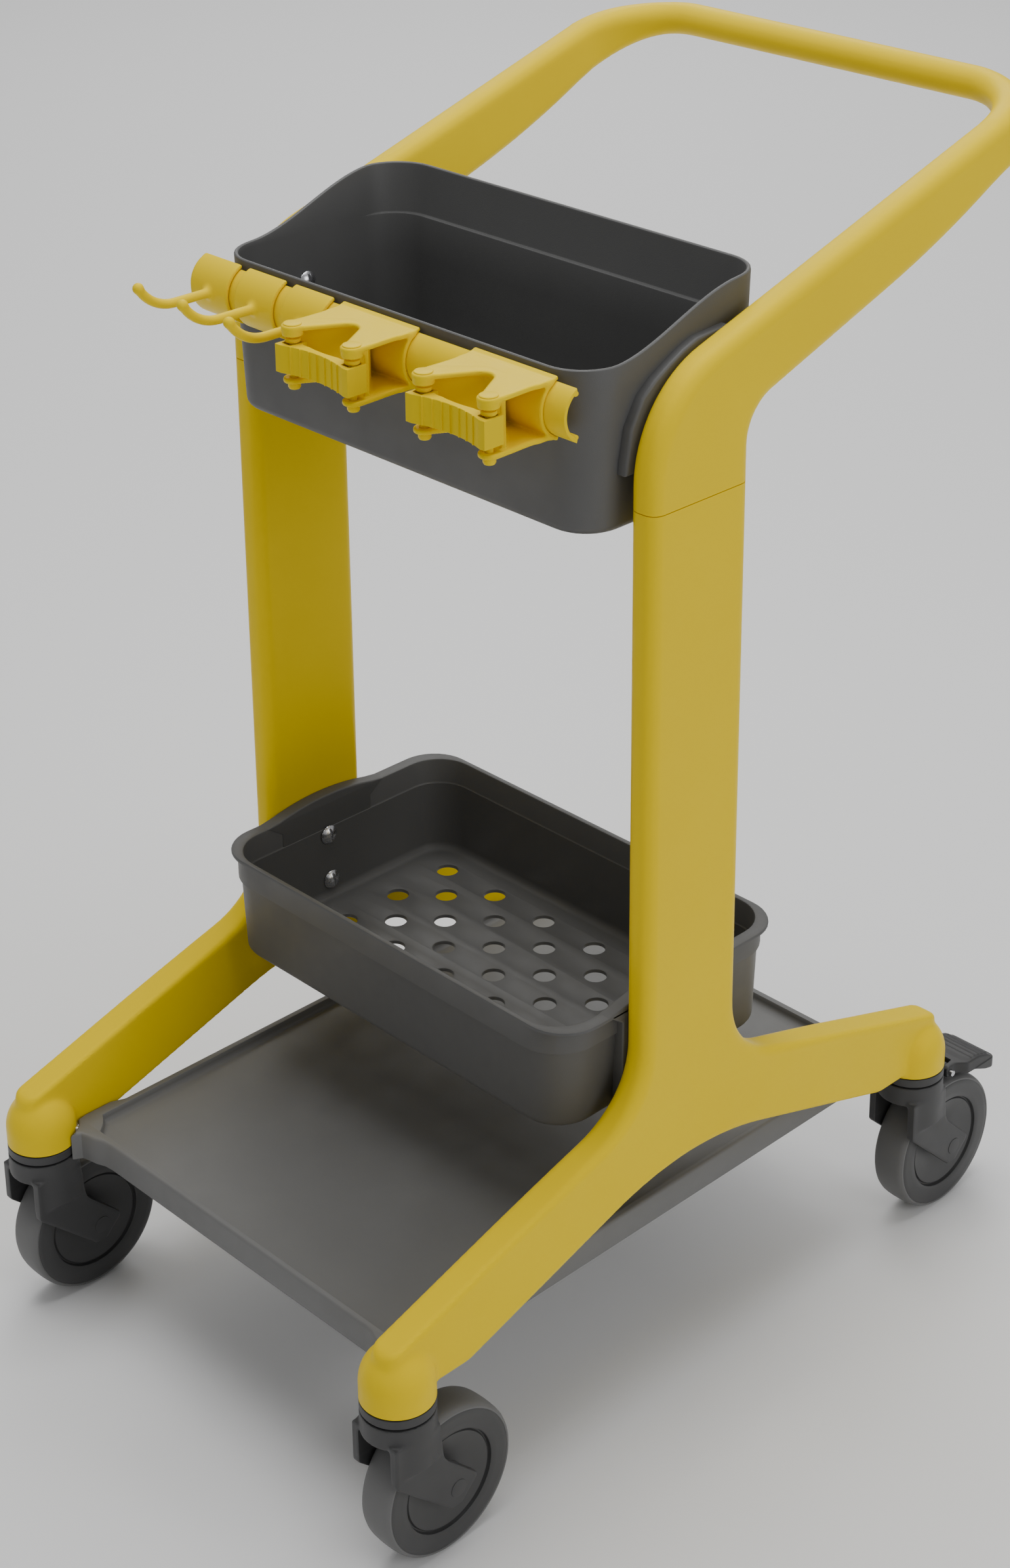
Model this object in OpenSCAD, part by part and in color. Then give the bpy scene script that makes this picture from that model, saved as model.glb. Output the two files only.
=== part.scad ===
// Wheeled hygiene cleaning trolley: two moulded side frames joined by a handle
// frame, a top bin, a lower tray and a base deck, a tool rail with hooks and
// grip clips, and four swivel castors.  Millimetres, +Z up, +Y to the handle.

/* [Frame] */
// Distance between the front and rear castor stems
wheelbase = 591; // [560:1:620]
// Distance from the middle of the cart to each side frame's middle plane
frame_x = 220; // [219:1:222]
// Thickness of the side frames and of the handle arms
plate_t = 26; // [22:1:28]
// Front-to-back depth of the uprights
upright_d = 101; // [90:1:110]
// Height of the joint between uprights and handle frame
joint_z = 773; // [760:1:780]
// Radius of the round feet over the castors
foot_r = 28.5; // [26:0.5:29]
// Height of the underside of the feet
foot_z = 156.4; // [156:0.1:158]

/* [Handle] */
// Diameter of the round grip bar
grip_d = 27; // [24:1:30]
// Grip bar's distance behind the uprights' centre line
grip_y = 401.5; // [390:0.5:410]
// Height of the grip bar's axis
grip_z = 984; // [975:1:990]
// Bend radius between arm and grip bar
corner_r = 72.5; // [60:0.5:75]

/* [Bin] */
// Half width of the top bin at its rim
bin_w = 200.4; // [198:0.1:201]
// Height of the bin's underside
bin_z = 752; // [748:1:756]
// Height of the low front rim
rim_front_z = 878; // [872:1:882]
// Height of the high rear rim
rim_rear_z = 914; // [905:1:918]
// Wall thickness of bin, tray and deck
wall = 3.5; // [3:0.1:4]

/* [Tray] */
// Height of the tray's rim
tray_rim_z = 361; // [358:1:364]
// Height of the tray's underside
tray_z = 269; // [265:1:272]
// Diameter of the drain holes
drain_d = 19; // [16:0.5:20]

/* [Deck] */
// Height of the deck's top edge
deck_top_z = 168; // [166:1:170]
// Height of the deck's skirt edge
deck_low_z = 143; // [143:1:146]
// Half width of the deck between the legs
deck_w = 201.6; // [198:0.1:202]

/* [Rail] */
// Left end of the tool rail
rail_left = -212; // [-214:1:-210]
// Right end of the tool rail
rail_right = 197; // [196:1:200]
// Height of the rail's centre line
rail_z = 851; // [848:1:853]

/* [Castors] */
// Wheel diameter
wheel_d = 125; // [123:1:125]
// Distance from stem to wheel axle
trail = 35.6; // [34:0.1:37]
// Tyre width
tyre_w = 32; // [30:1:33]

/* [Hidden] */

$fn = 64;
YELLOW = [0.95, 0.82, 0.02];
DARK = [0.27, 0.27, 0.26];
BLACK = [0.16, 0.16, 0.17];
GREY = [0.46, 0.46, 0.46];
STEEL = [0.75, 0.76, 0.78];

// The uprights' centre line lies this far behind the origin, which is the
// middle of the whole cart's footprint.
upright_y = -45.5;
half_base = wheelbase / 2;
upright_h = upright_d / 2;
inner_x = frame_x - plate_t / 2;
castor_x = 219;

// Straight edges of the legs as height over distance from the centre line.
leg_top_slope = 0.305;
leg_low_slope = 0.318;
function leg_top(d) = 254 - leg_top_slope * (d - 150.8);
function leg_low(d) = 200.5 - leg_low_slope * (d - 106);
nose_d = 20;             // the leg's end beyond the castor stem
leg_end_z = 159;         // underside of the leg beside its foot
crotch_r = 70;           // fillet between upright and leg
arch_r = 269;            // arch between front and rear leg

// Points on an arc, from angle a0 to a1 in n steps.
function arc(c, r, a0, a1, n = 10) =
    [for (i = [0:n]) let (a = a0 + (a1 - a0) * i / n) [c[0] + r * cos(a), c[1] + r * sin(a)]];
function flip(points) = [for (i = [len(points) - 1:-1:0]) [-points[i][0], points[i][1]]];
function smooth(t) = let (s = min(max(t, 0), 1)) s * s * (3 - 2 * s);

module at_upright() { translate([0, upright_y, 0]) children(); }
module both_sides() { children(); mirror([1, 0, 0]) children(); }
module both_ends() { children(); mirror([0, 1, 0]) children(); }

// Extrudes a (y, z) outline along X, from x0 to x1.
module side_profile(x0, x1) {
    translate([x0, 0, 0]) rotate([90, 0, 90]) linear_extrude(x1 - x0) children();
}

// Rounded rectangle from -w to w and from y0 to y1.
module round_rect(w, y0, y1, r) {
    translate([0, (y0 + y1) / 2])
        for (k = [0, 1])
            square([2 * (w - k * r), y1 - y0 - 2 * (1 - k) * r], center = true);
    for (sx = [-1, 1], y = [y0 + r, y1 - r])
        translate([sx * (w - r), y]) circle(r, $fn = 32);
}
module slab(w, y0, y1, r, z) {
    translate([0, 0, z]) linear_extrude(0.01) round_rect(w, y0, y1, r);
}

// ---------------------------------------------------------------- side frames
// One half of the inverted Y outline, from the upright's top to the arch.
function frame_half() = let (
        slope = atan(leg_top_slope),
        low_slope = atan(leg_low_slope),
        drop = crotch_r * tan((90 - slope) / 2),
        fillet_z = leg_top(upright_h) + drop,
        end = half_base + nose_d,
        low_start = 106 + (200.5 - leg_end_z) / leg_low_slope,
        arch_z = leg_low(0) - arch_r / cos(low_slope))
    concat([[upright_h, joint_z]],
        arc([upright_h + crotch_r, fillet_z], crotch_r, 180, 270 - slope),
        arc([end - 12, leg_top(end) - 12], 12, 80, 0, 4),
        [[end, leg_end_z], [low_start, leg_end_z]],
        arc([0, arch_z], arch_r, 90 - low_slope, 90, 6));

module frame_outline() { polygon(concat(frame_half(), flip(frame_half()))); }

spigot_w = 12;
spigot_d = 74;
spigot_h = 70;
module spigot_block() {
    translate([frame_x - spigot_w / 2, -spigot_d / 2, joint_z - spigot_h / 2])
        cube([spigot_w, spigot_d, spigot_h]);
}

bin_bolt_z = [788, 833];
tray_bolt_z = [287.6, 331];
bolt_r = 4;
module bolt_holes(depth) {
    for (z = concat(bin_bolt_z, tray_bolt_z))
        translate([inner_x - 1, 0, z]) rotate([0, 90, 0]) cylinder(r = bolt_r, h = depth + 1);
}

stem_r = 5.5;
stem_top = 190;
pin_r = 3;
pin_z = 163.5;
// Pins that tie a deck corner to its foot, along the diagonal of the corner.
module deck_pin(r0, r1) {
    translate([castor_x, -half_base, pin_z]) rotate([0, 0, 135]) rotate([0, 90, 0])
        translate([0, 0, r0]) cylinder(r = pin_r, h = r1 - r0);
}

module foot() {
    translate([castor_x, -half_base, foot_z]) cylinder(r = foot_r, h = 22);
    translate([castor_x, -half_base, foot_z + 22]) sphere(foot_r);
}

module side_frame() {
    difference() {
        union() {
            side_profile(inner_x, inner_x + plate_t) frame_outline();
            both_ends() foot();
        }
        spigot_block();
        bolt_holes(18);
        both_ends() {
            translate([castor_x, -half_base, foot_z - 30]) cylinder(r = foot_r + 5, h = 30);
            translate([castor_x, -half_base, foot_z - 1]) cylinder(r = stem_r, h = stem_top - foot_z + 1);
            deck_pin(18, 40);
        }
    }
}
module right_side_frame() { color(YELLOW) at_upright() side_frame(); }
module left_side_frame() { color(YELLOW) at_upright() mirror([1, 0, 0]) side_frame(); }

// --------------------------------------------------------------- handle frame
// The arms' edges as height over distance behind the uprights' centre line.
arm_slope = 17.8;         // upper edge above the horizontal
arm_low_slope = 19.3;     // lower edge, before it curves up to the grip bar
arm_top_z = 858.9;        // upper edge's height at the uprights' front
arm_low_z = 825.4;        // lower edge's height at the uprights' back
arm_curve = [203.5, 879]; // where the lower edge starts to curve up
arm_curve_r = 850;
tilt = 20;                // slope of the bend between arm and grip bar
grip_r = grip_d / 2;
bend_x = frame_x - corner_r;
bend_y = grip_y - corner_r * cos(tilt);
bend_z = grip_z - corner_r * sin(tilt);
arm_half_h = 20.7;        // half the arm's height where the bend starts

function arm_outline() = let (
        r1 = 94, r2 = 35,
        t1 = r1 * tan(45 - arm_slope / 2),
        t2 = r2 * tan(45 - arm_low_slope / 2),
        across = arm_half_h * [-sin(tilt), cos(tilt)],
        curve_c = arm_curve + arm_curve_r * [-sin(arm_low_slope), cos(arm_low_slope)])
    concat([[-upright_h, joint_z]],
        arc([-upright_h + r1, arm_top_z - t1], r1, 180, 90 + arm_slope),
        [[bend_y, bend_z] + across, [bend_y, bend_z] - across],
        arc(curve_c, arm_curve_r, -62, arm_low_slope - 90, 5),
        arc([upright_h + r2, arm_low_z - t2], r2, 90 + arm_low_slope, 180),
        [[upright_h, joint_z]]);

taper_a = 36;             // the tall end of the arm narrows over this angle
// Tall start of the bend, narrowed to the grip bar's height by two planes.
module bend_start() {
    w = plate_t / 2 - 0.1;
    far = corner_r * sin(taper_a);
    intersection() {
        rotate([0, 0, -2]) rotate_extrude(angle = taper_a + 2) translate([corner_r, 0]) {
            square([2 * w, 2 * (arm_half_h - w)], center = true);
            for (s = [-1, 1]) translate([0, s * (arm_half_h - w)]) circle(w);
        }
        side_profile(0, corner_r + 50) polygon([[-5, arm_half_h + 1], [far + 9, grip_r - 3],
            [far + 9, 3 - grip_r], [-5, -arm_half_h - 1]]);
    }
}
module handle_side() {
    side_profile(inner_x, inner_x + plate_t) polygon(arm_outline());
    translate([bend_x, bend_y, bend_z]) rotate([tilt, 0, 0]) {
        bend_start();
        rotate([0, 0, 10]) rotate_extrude(angle = 81) translate([corner_r, 0]) circle(grip_r - 0.1);
    }
    translate([0, grip_y, grip_z]) rotate([0, 90, 0]) cylinder(r = grip_r, h = bend_x);
}
module handle_frame() {
    color(YELLOW) at_upright() difference() {
        both_sides() handle_side();
        both_sides() spigot_block();
        both_sides() bolt_holes(18);
    }
}
// Block inside the joint, crossed by the lower bin bolt.
module handle_spigot() {
    difference() {
        spigot_block();
        bolt_holes(30);
    }
}
module right_handle_spigot() { color(BLACK) at_upright() handle_spigot(); }
module left_handle_spigot() { color(BLACK) at_upright() mirror([1, 0, 0]) handle_spigot(); }

// -------------------------------------------------------------------- top bin
bin_front = -89;          // at the level of the high rim
bin_back = 105;
bin_r = 37;
s_start = -58;            // the side rim rises from here
s_end = 75.5;             // to here
draft_x = 3.4;            // how much the walls lean in down to the base
draft_y = 8;
module bin_block(inset, base, top, back_inset) {
    f = (base - bin_z) / (rim_rear_z - bin_z);
    w = bin_w - draft_x * (1 - f) - inset;
    y0 = bin_front + draft_y * (1 - f) + inset;
    y1 = bin_back - (draft_y - 1) * (1 - f) - back_inset;
    edge = 6;
    hull() {
        slab(w - edge, y0 + edge, y1 - edge, bin_r - inset - edge, base);
        slab(w, y0, y1, bin_r - inset - 2, base + edge);
        slab(bin_w - inset, bin_front + inset, bin_back - back_inset, bin_r - inset, top);
    }
}
function rim_z(y) = rim_front_z
    + (rim_rear_z - rim_front_z) * smooth((y - s_start) / (s_end - s_start));
module above_rim() {
    side_profile(-250, 250) polygon(concat(
        [[-150, 960], [-150, rim_front_z]],
        [for (y = [s_start:12.1:s_end]) [y, rim_z(y)]],
        [[150, rim_rear_z], [150, 960]]));
}
// Raised pad that follows the side frame's front curve.
module bin_pad() {
    side_profile(bin_w - 3, inner_x) polygon([[-51.5, 797], [-51, 806], [-46.7, 831], [-40, 843],
        [-34.7, 852], [-22, 862], [-7.7, 870], [6, 877], [20, 882], [52, 884], [52, 797]]);
}
ledge_z = 873;
rail_pad_y = -90;
module rail_pads() {
    translate([-164, rail_pad_y, rail_z - 12]) cube([328, 7, 24]);
}
screw_x = [-132.5, -4, 136];
screw_r = 2;
module top_bin() {
    color(DARK) at_upright() difference() {
        union() {
            difference() {
                bin_block(0, bin_z, rim_rear_z, 0);
                bin_block(wall, bin_z + wall, rim_rear_z + 1, 8);
                intersection() {
                    bin_block(wall, bin_z + wall, rim_rear_z + 1, wall);
                    translate([-250, -150, ledge_z]) cube([500, 300, 100]);
                }
                above_rim();
            }
            both_sides() bin_pad();
            rail_pads();
        }
        both_sides() for (z = bin_bolt_z)
            translate([150, 0, z]) rotate([0, 90, 0]) cylinder(r = bolt_r, h = 100);
        for (x = screw_x)
            translate([x, -70, rail_z]) rotate([90, 0, 0]) cylinder(r = screw_r, h = 40);
    }
}

// Domed, slotted bolt on the right-hand wall, with its head inside.
module wall_bolt(z, seat_x) {
    head_r = 9;
    translate([0, 0, z]) rotate([0, 90, 0]) {
        translate([0, 0, seat_x]) cylinder(r = bolt_r, h = inner_x + 16 - seat_x);
        difference() {
            intersection() {
                translate([0, 0, seat_x - 4.5]) cylinder(r = head_r, h = 4.5);
                translate([0, 0, seat_x + 6.75]) sphere(11.25);
            }
            translate([-1, -10, seat_x - 6]) cube([2, 20, 3.5]);
        }
    }
}
// Each head sits where the leaning wall is nearest at the head's lower edge.
module bin_bolts() { for (z = bin_bolt_z) wall_bolt(z, 193.9 + 0.021 * (z - bin_bolt_z[0])); }
module tray_bolts() { for (z = tray_bolt_z) wall_bolt(z, 191.9 + 0.04 * (z - tray_bolt_z[0])); }
module bin_bolts_right() { color(STEEL) at_upright() bin_bolts(); }
module bin_bolts_left() { color(STEEL) at_upright() mirror([1, 0, 0]) bin_bolts(); }
module tray_bolts_right() { color(STEEL) at_upright() tray_bolts(); }
module tray_bolts_left() { color(STEEL) at_upright() mirror([1, 0, 0]) tray_bolts(); }

// Downturned lip behind the high rim, for a bag or a cloth net.
lip_half = 152;
module rear_bag_lip() {
    color(DARK) at_upright() side_profile(-lip_half, lip_half) polygon(concat(
        [[105.2, 898], [105.2, 905], [112, 905]],
        arc([114, 899], 6, 90, 0, 4),
        [[120, 882]],
        arc([117, 879], 3, 0, -180, 6),
        [[114, 897], [112, 898]]));
}

// ------------------------------------------------------------------ lower tray
tray_front = -113.5;
tray_back = 137.5;
tray_w = 200.5;
tray_r = 38;
band_z = 338;             // the wall steps out above this height
module tray_lower(inset, base, top) {
    hull() {
        slab(tray_w - 11 - inset, tray_front + 10 + inset, tray_back - 10 - inset,
            tray_r - 9 - inset, base);
        slab(tray_w - 5 - inset, tray_front + 5 + inset, tray_back - 5 - inset,
            tray_r - 3 - inset, base + 6);
        slab(tray_w - 2.5 - inset, tray_front + 2.5 + inset, tray_back - 2.5 - inset,
            tray_r - inset, top);
    }
}
module tray_band(inset, base, top) {
    translate([0, 0, base]) linear_extrude(top - base)
        round_rect(tray_w - inset, tray_front + inset, tray_back - inset, tray_r - inset);
}
module tray_flange() {
    translate([0, 0, tray_rim_z - 3]) linear_extrude(3)
        round_rect(inner_x, tray_front, tray_back, tray_r - 3);
}
// Pad between tray wall and upright, with a low curved top.
module tray_pad() {
    side_profile(tray_w - 6, inner_x) polygon(concat(
        [[-50, 276]], [[-50, 350], [-65, tray_rim_z]],
        [for (k = [-4:4]) [k * 13, tray_rim_z + 8 - 6 * (k / 4) * (k / 4)]],
        [[65, tray_rim_z], [50, 350], [50, 276]]));
}
drain_x = 30.3;
drain_y = 29.4;
tray_mid = 12;
module drain_holes() {
    for (i = [-5:5], k = [-3:3])
        if ((i + k + 10) % 2 == 0)
            translate([i * drain_x, tray_mid - 1.5 + k * drain_y, tray_z - 1])
                cylinder(d = drain_d, h = wall + 4);
}
module lower_tray() {
    color(DARK) at_upright() difference() {
        union() {
            tray_lower(0, tray_z, band_z + 0.01);
            tray_band(0, band_z, tray_rim_z);
            tray_flange();
            both_sides() tray_pad();
        }
        tray_lower(wall, tray_z + wall, band_z + 0.02);
        tray_band(wall + 1.5, band_z - 1, tray_rim_z + 20);
        drain_holes();
        both_sides() for (z = tray_bolt_z)
            translate([150, 0, z]) rotate([0, 90, 0]) cylinder(r = bolt_r, h = 100);
    }
}

// ------------------------------------------------------------------- base deck
deck_end = half_base - 23;
notch_r = foot_r + 1.5;
module deck_quarter() {
    tip = [[0, 0], [deck_w, 0], [deck_w, -half_base + 72], [inner_x - 0.5, -half_base + 60],
        [inner_x - 0.5, -half_base + 34], [inner_x - 14, -half_base + 12], [193, -half_base + 8],
        [186, -half_base + 16], [172, -deck_end - 4], [156, -deck_end], [0, -deck_end]];
    difference() {
        polygon(tip);
        translate([castor_x, -half_base]) circle(notch_r);
    }
}
module deck_outline() { for (sx = [0, 1], sy = [0, 1]) mirror([sx, 0]) mirror([0, sy]) deck_quarter(); }
module corner_solids() {
    for (sx = [-1, 1], sy = [-1, 1]) translate([sx * castor_x, sy * half_base]) circle(50);
}
deck_floor_z = 160;
module base_deck() {
    rim = 6;
    color(DARK) at_upright() difference() {
        translate([0, 0, deck_low_z]) linear_extrude(deck_top_z - deck_low_z) deck_outline();
        translate([0, 0, deck_floor_z]) linear_extrude(20) difference() {
            round_rect(deck_w - rim, -deck_end + rim, deck_end - rim, 22);
            corner_solids();
        }
        translate([0, 0, deck_low_z - 1]) linear_extrude(deck_floor_z - wall - deck_low_z + 1)
            difference() {
                round_rect(deck_w - wall, -deck_end + wall, deck_end - wall, 20);
                corner_solids();
            }
        both_sides() both_ends() deck_pin(18, 44);
    }
}
module deck_pins() { color(STEEL) at_upright() both_sides() both_ends() deck_pin(18, 44); }

// ------------------------------------------------------------------- tool rail
rail_y = -80.5;           // centre of the rail's round front
rail_r = 22.25;
rail_t = 3;
rail_back = -90;
fit_gap = 0.3;
sleeve_t = 2.95;
// Wedge that keeps a sector open to the front, half angle a.
module front_wedge(a, r) { polygon([[0, 0], r * [-cos(a), sin(a)] * 2, [-3 * r, 0], r * [-cos(a), -sin(a)] * 2]); }
module tool_rail() {
    color(YELLOW) at_upright() difference() {
        union() {
            side_profile(rail_left, rail_right) translate([rail_y, rail_z]) intersection() {
                difference() { circle(rail_r); circle(rail_r - rail_t); }
                translate([-50, -50]) square([50 + rail_back - rail_y, 100]);
            }
            for (x = screw_x)
                translate([x, rail_back, rail_z]) rotate([90, 0, 0]) cylinder(r = 6, h = 10.5);
        }
        for (x = screw_x)
            translate([x, rail_back + 1, rail_z]) rotate([90, 0, 0]) cylinder(r = screw_r, h = 10);
    }
}
module rail_screws() {
    color(STEEL) at_upright() for (x = screw_x) translate([x, 0, rail_z]) rotate([90, 0, 0]) {
        translate([0, 0, 82]) cylinder(r = screw_r, h = 16.8);
        translate([0, 0, 79.4]) cylinder(r = 4, h = 2.7);
    }
}
// Sleeve that wraps the rail's round front and hooks behind its edges.
module sleeve(w) {
    side_profile(-w / 2, w / 2) translate([rail_y, rail_z]) {
        intersection() {
            difference() {
                circle(rail_r + fit_gap + sleeve_t);
                circle(rail_r + fit_gap);
            }
            front_wedge(70, 40);
        }
        for (s = [-1, 1]) intersection() {
            difference() { circle(rail_r + fit_gap + 1); circle(rail_r - 2); }
            polygon([[0, 0], 60 * [-cos(66.5), s * sin(66.5)], 60 * [-cos(70), s * sin(70)]]);
        }
    }
}

hook_x = [-186, -132.5, -78];
hook_w = 44;
rod_r = 3.8;
rod_bend = 38;
rod_straight = -138;
module hook() {
    color(YELLOW) {
        sleeve(hook_w);
        translate([0, rail_y - rail_r - 1.5, rail_z]) rotate([90, 0, 0])
            cylinder(r = rod_r, h = -rod_straight + rail_y - rail_r - 1.5);
        translate([0, rod_straight, rail_z + rod_bend]) rotate([0, 90, 0]) rotate([0, 0, -60])
            rotate_extrude(angle = 61.5) translate([rod_bend, 0]) circle(rod_r - 0.1);
        translate([0, rod_straight - rod_bend * sin(60), rail_z + rod_bend * (1 - cos(60))])
            sphere(rod_r + 0.2);
    }
}
module hook_1() { at_upright() translate([hook_x[0], 0, 0]) hook(); }
module hook_2() { at_upright() translate([hook_x[1], 0, 0]) hook(); }
module hook_3() { at_upright() translate([hook_x[2], 0, 0]) hook(); }

clip_x = [-4, 136];
clip_w = 83;
jaw_x = 32.5;
jaw_y = -146;
throat_y = -124;         // round end of the V-shaped throat
throat_r = 10;
throat_half = 24.5;       // half the throat's width at its mouth
jaw_t = 4;
jaw_top_z = 873;
jaw_low_z = 829;
clip_pin_r = 3;
module jaw_plate() {
    difference() {
        union() {
            polygon([[-clip_w / 2, -96], [-clip_w / 2, -107], [-jaw_x - 7, -112], [-jaw_x - 8, jaw_y],
                [jaw_x + 8, jaw_y], [jaw_x + 7, -112], [clip_w / 2, -107], [clip_w / 2, -96]]);
            for (s = [-1, 1]) translate([s * jaw_x, jaw_y]) circle(8);
        }
        hull() {
            translate([0, throat_y]) circle(throat_r);
            translate([-throat_half, jaw_y - 1]) square([2 * throat_half, 1]);
        }
        translate([-throat_half, jaw_y - 20]) square([2 * throat_half, 20]);
    }
}
// Walls between the plates: two slanting ones that meet a short one behind the throat.
module jaw_walls() {
    for (s = [-1, 1]) hull() {
        translate([s * 27, -129]) circle(1.5, $fn = 16);
        translate([s * 9, -111]) circle(1.5, $fn = 16);
    }
    translate([-9, -112.5]) square([18, 3]);
}
module clip_body() {
    color(YELLOW) difference() {
        union() {
            sleeve(clip_w);
            for (z = [jaw_low_z, jaw_top_z - jaw_t]) translate([0, 0, z]) linear_extrude(jaw_t) jaw_plate();
            translate([0, 0, jaw_low_z + 1]) linear_extrude(jaw_top_z - jaw_low_z - 2) jaw_walls();
        }
        side_profile(-50, 50) translate([rail_y, rail_z]) circle(rail_r + fit_gap);
        for (s = [-1, 1]) translate([s * jaw_x, jaw_y, 800]) cylinder(r = clip_pin_r, h = 100);
    }
}
module clip_body_1() { at_upright() translate([clip_x[0], 0, 0]) clip_body(); }
module clip_body_2() { at_upright() translate([clip_x[1], 0, 0]) clip_body(); }

band_z0 = 838;
band_h = 21.5;
band_front = -157;
eye_half = 7;
module grip_band() {
    bow_r = 100;
    color(YELLOW) difference() {
        translate([0, 0, band_z0]) linear_extrude(band_h) difference() {
            union() {
                for (s = [-1, 1]) translate([s * jaw_x - eye_half, band_front])
                    square([2 * eye_half, 18]);
                translate([-jaw_x, band_front]) square([2 * jaw_x, 12]);
            }
            translate([0, band_front - bow_r + 6]) circle(bow_r, $fn = 160);
            translate([0, band_front + bow_r + 11]) circle(bow_r - 0.1, $fn = 160);
        }
        for (s = [-1, 1]) translate([s * jaw_x, jaw_y, 800]) cylinder(r = clip_pin_r, h = 100);
    }
}
module grip_band_1() { at_upright() translate([clip_x[0], 0, 0]) grip_band(); }
module grip_band_2() { at_upright() translate([clip_x[1], 0, 0]) grip_band(); }

module clip_pins() {
    color(YELLOW) for (s = [-1, 1]) translate([s * jaw_x, jaw_y, 0]) {
        translate([0, 0, 824]) cylinder(r = clip_pin_r, h = jaw_top_z - 824);
        translate([0, 0, jaw_top_z]) cylinder(r = 7, h = 1.6);
        translate([0, 0, 819]) cylinder(r1 = 1, r2 = 5.5, h = 9.8);
    }
}
module clip_pins_1() { at_upright() translate([clip_x[0], 0, 0]) clip_pins(); }
module clip_pins_2() { at_upright() translate([clip_x[1], 0, 0]) clip_pins(); }

// --------------------------------------------------------------------- castors
// Each castor is drawn with its stem on the local Z axis and trails to +Y.
module at_castor(corner) {
    sx = corner[1] == "l" ? -1 : 1;
    sy = corner[0] == "f" ? -1 : 1;
    translate([sx * castor_x, upright_y + sy * half_base, 0]) children();
}
axle_z = wheel_d / 2;
fork_top = 145.9;
crown_z = 128;
fork_in = 17.3;
fork_out = 24.5;
axle_r = 4;
run_gap = 0.05;
module stem() {
    color(STEEL) {
        translate([0, 0, fork_top]) cylinder(r = stem_r, h = stem_top - fork_top - 0.5);
        translate([0, 0, 126]) cylinder(r = stem_r - run_gap, h = fork_top - 126);
        translate([0, 0, 125.4]) cylinder(r = 8, h = 2.2);
    }
}
module collar() {
    color(DARK) difference() {
        translate([0, 0, fork_top + 0.5]) cylinder(r = foot_r, h = foot_z - fork_top - 0.5);
        cylinder(r = stem_r, h = 200);
    }
}
arm_end_d = 13.7;         // the arm ends this far beyond the axle
arm_half = 15.5;
function along(d, s) = [trail + (d + s) / sqrt(2), axle_z + (s - d) / sqrt(2)];
module fork_arm() {
    polygon([[-24, 128], [-24, 97], along(arm_end_d, -arm_half), along(arm_end_d, arm_half),
        along(-48, arm_half), [12, 128]]);
}
lug_y = 36;
lug_z = 134.5;
pedal_pin_r = 2.5;
module fork(braked) {
    color(DARK) difference() {
        union() {
            translate([0, 0, 104]) cylinder(r = foot_r, h = fork_top - 104);
            for (s = [0, 1]) mirror([s, 0, 0]) side_profile(fork_in, fork_out) fork_arm();
            if (braked) translate([-10, 20, lug_z - 5]) cube([20, lug_y - 15, 10]);
        }
        translate([-fork_in, -60, 60]) cube([2 * fork_in, 140, crown_z - 60]);
        translate([0, 0, 100]) cylinder(r = stem_r, h = 60);
        translate([-40, trail, axle_z]) rotate([0, 90, 0]) cylinder(r = axle_r, h = 80);
        if (braked) translate([-12, lug_y, lug_z]) rotate([0, 90, 0]) cylinder(r = pedal_pin_r, h = 24);
    }
}
module axle() {
    color(BLACK) translate([0, trail, axle_z]) rotate([0, 90, 0]) {
        cylinder(r = axle_r, h = 2 * fork_out, center = true);
        for (s = [0, 1]) mirror([0, 0, s]) translate([0, 0, fork_out]) cylinder(r = 8.5, h = 0.8);
    }
}
bearing_r = 9;
bearing_w = 7;
hub_half = 17;
core_r = 54;
module wheel_axis() { translate([0, trail, axle_z]) rotate([0, 90, 0]) children(); }
module wheel_core() {
    half = [[5, 0], [5, 9], [bearing_r, 9], [bearing_r, hub_half], [13, hub_half], [14.5, 9.5],
        [39.5, 13.4], [40.3, 12.2], [42, 12.2], [42, 15.4], [core_r, 15.4], [core_r, 0]];
    color(BLACK) wheel_axis() both_halves() rotate_extrude() polygon(half);
}
module both_halves() { children(); mirror([0, 0, 1]) children(); }
module wheel_bearings() {
    color(STEEL) wheel_axis() both_halves() translate([0, 0, hub_half - bearing_w]) difference() {
        cylinder(r = bearing_r, h = bearing_w);
        translate([0, 0, -1]) cylinder(r = axle_r + run_gap, h = bearing_w + 2);
    }
}
module tyre() {
    half = concat([[core_r, 0]], [[core_r, 15.4]], [[56, tyre_w / 2]], arc([58, 12], 4, 90, 35, 4),
        [[62, 9], [wheel_d / 2, 4], [wheel_d / 2, 0]]);
    color(GREY) wheel_axis() both_halves() rotate_extrude($fn = 96) polygon(half);
}
pedal_w = 38;
module brake_pedal() {
    color(BLACK) difference() {
        side_profile(-pedal_w / 2, pedal_w / 2) polygon([[31, 139], [34, 141], [45, 141], [60, 139],
            [99, 122.5], [104, 118], [103, 113], [80, 121.5], [60, 130], [45, 130.5], [33, 130], [31, 132]]);
        translate([-10.5, 25, 120]) cube([21, 18, 30]);
        translate([-30, lug_y, lug_z]) rotate([0, 90, 0]) cylinder(r = pedal_pin_r + run_gap, h = 60);
    }
}
module pedal_pin() {
    color(STEEL) translate([-pedal_w / 2, lug_y, lug_z]) rotate([0, 90, 0])
        cylinder(r = pedal_pin_r, h = pedal_w);
}

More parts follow.
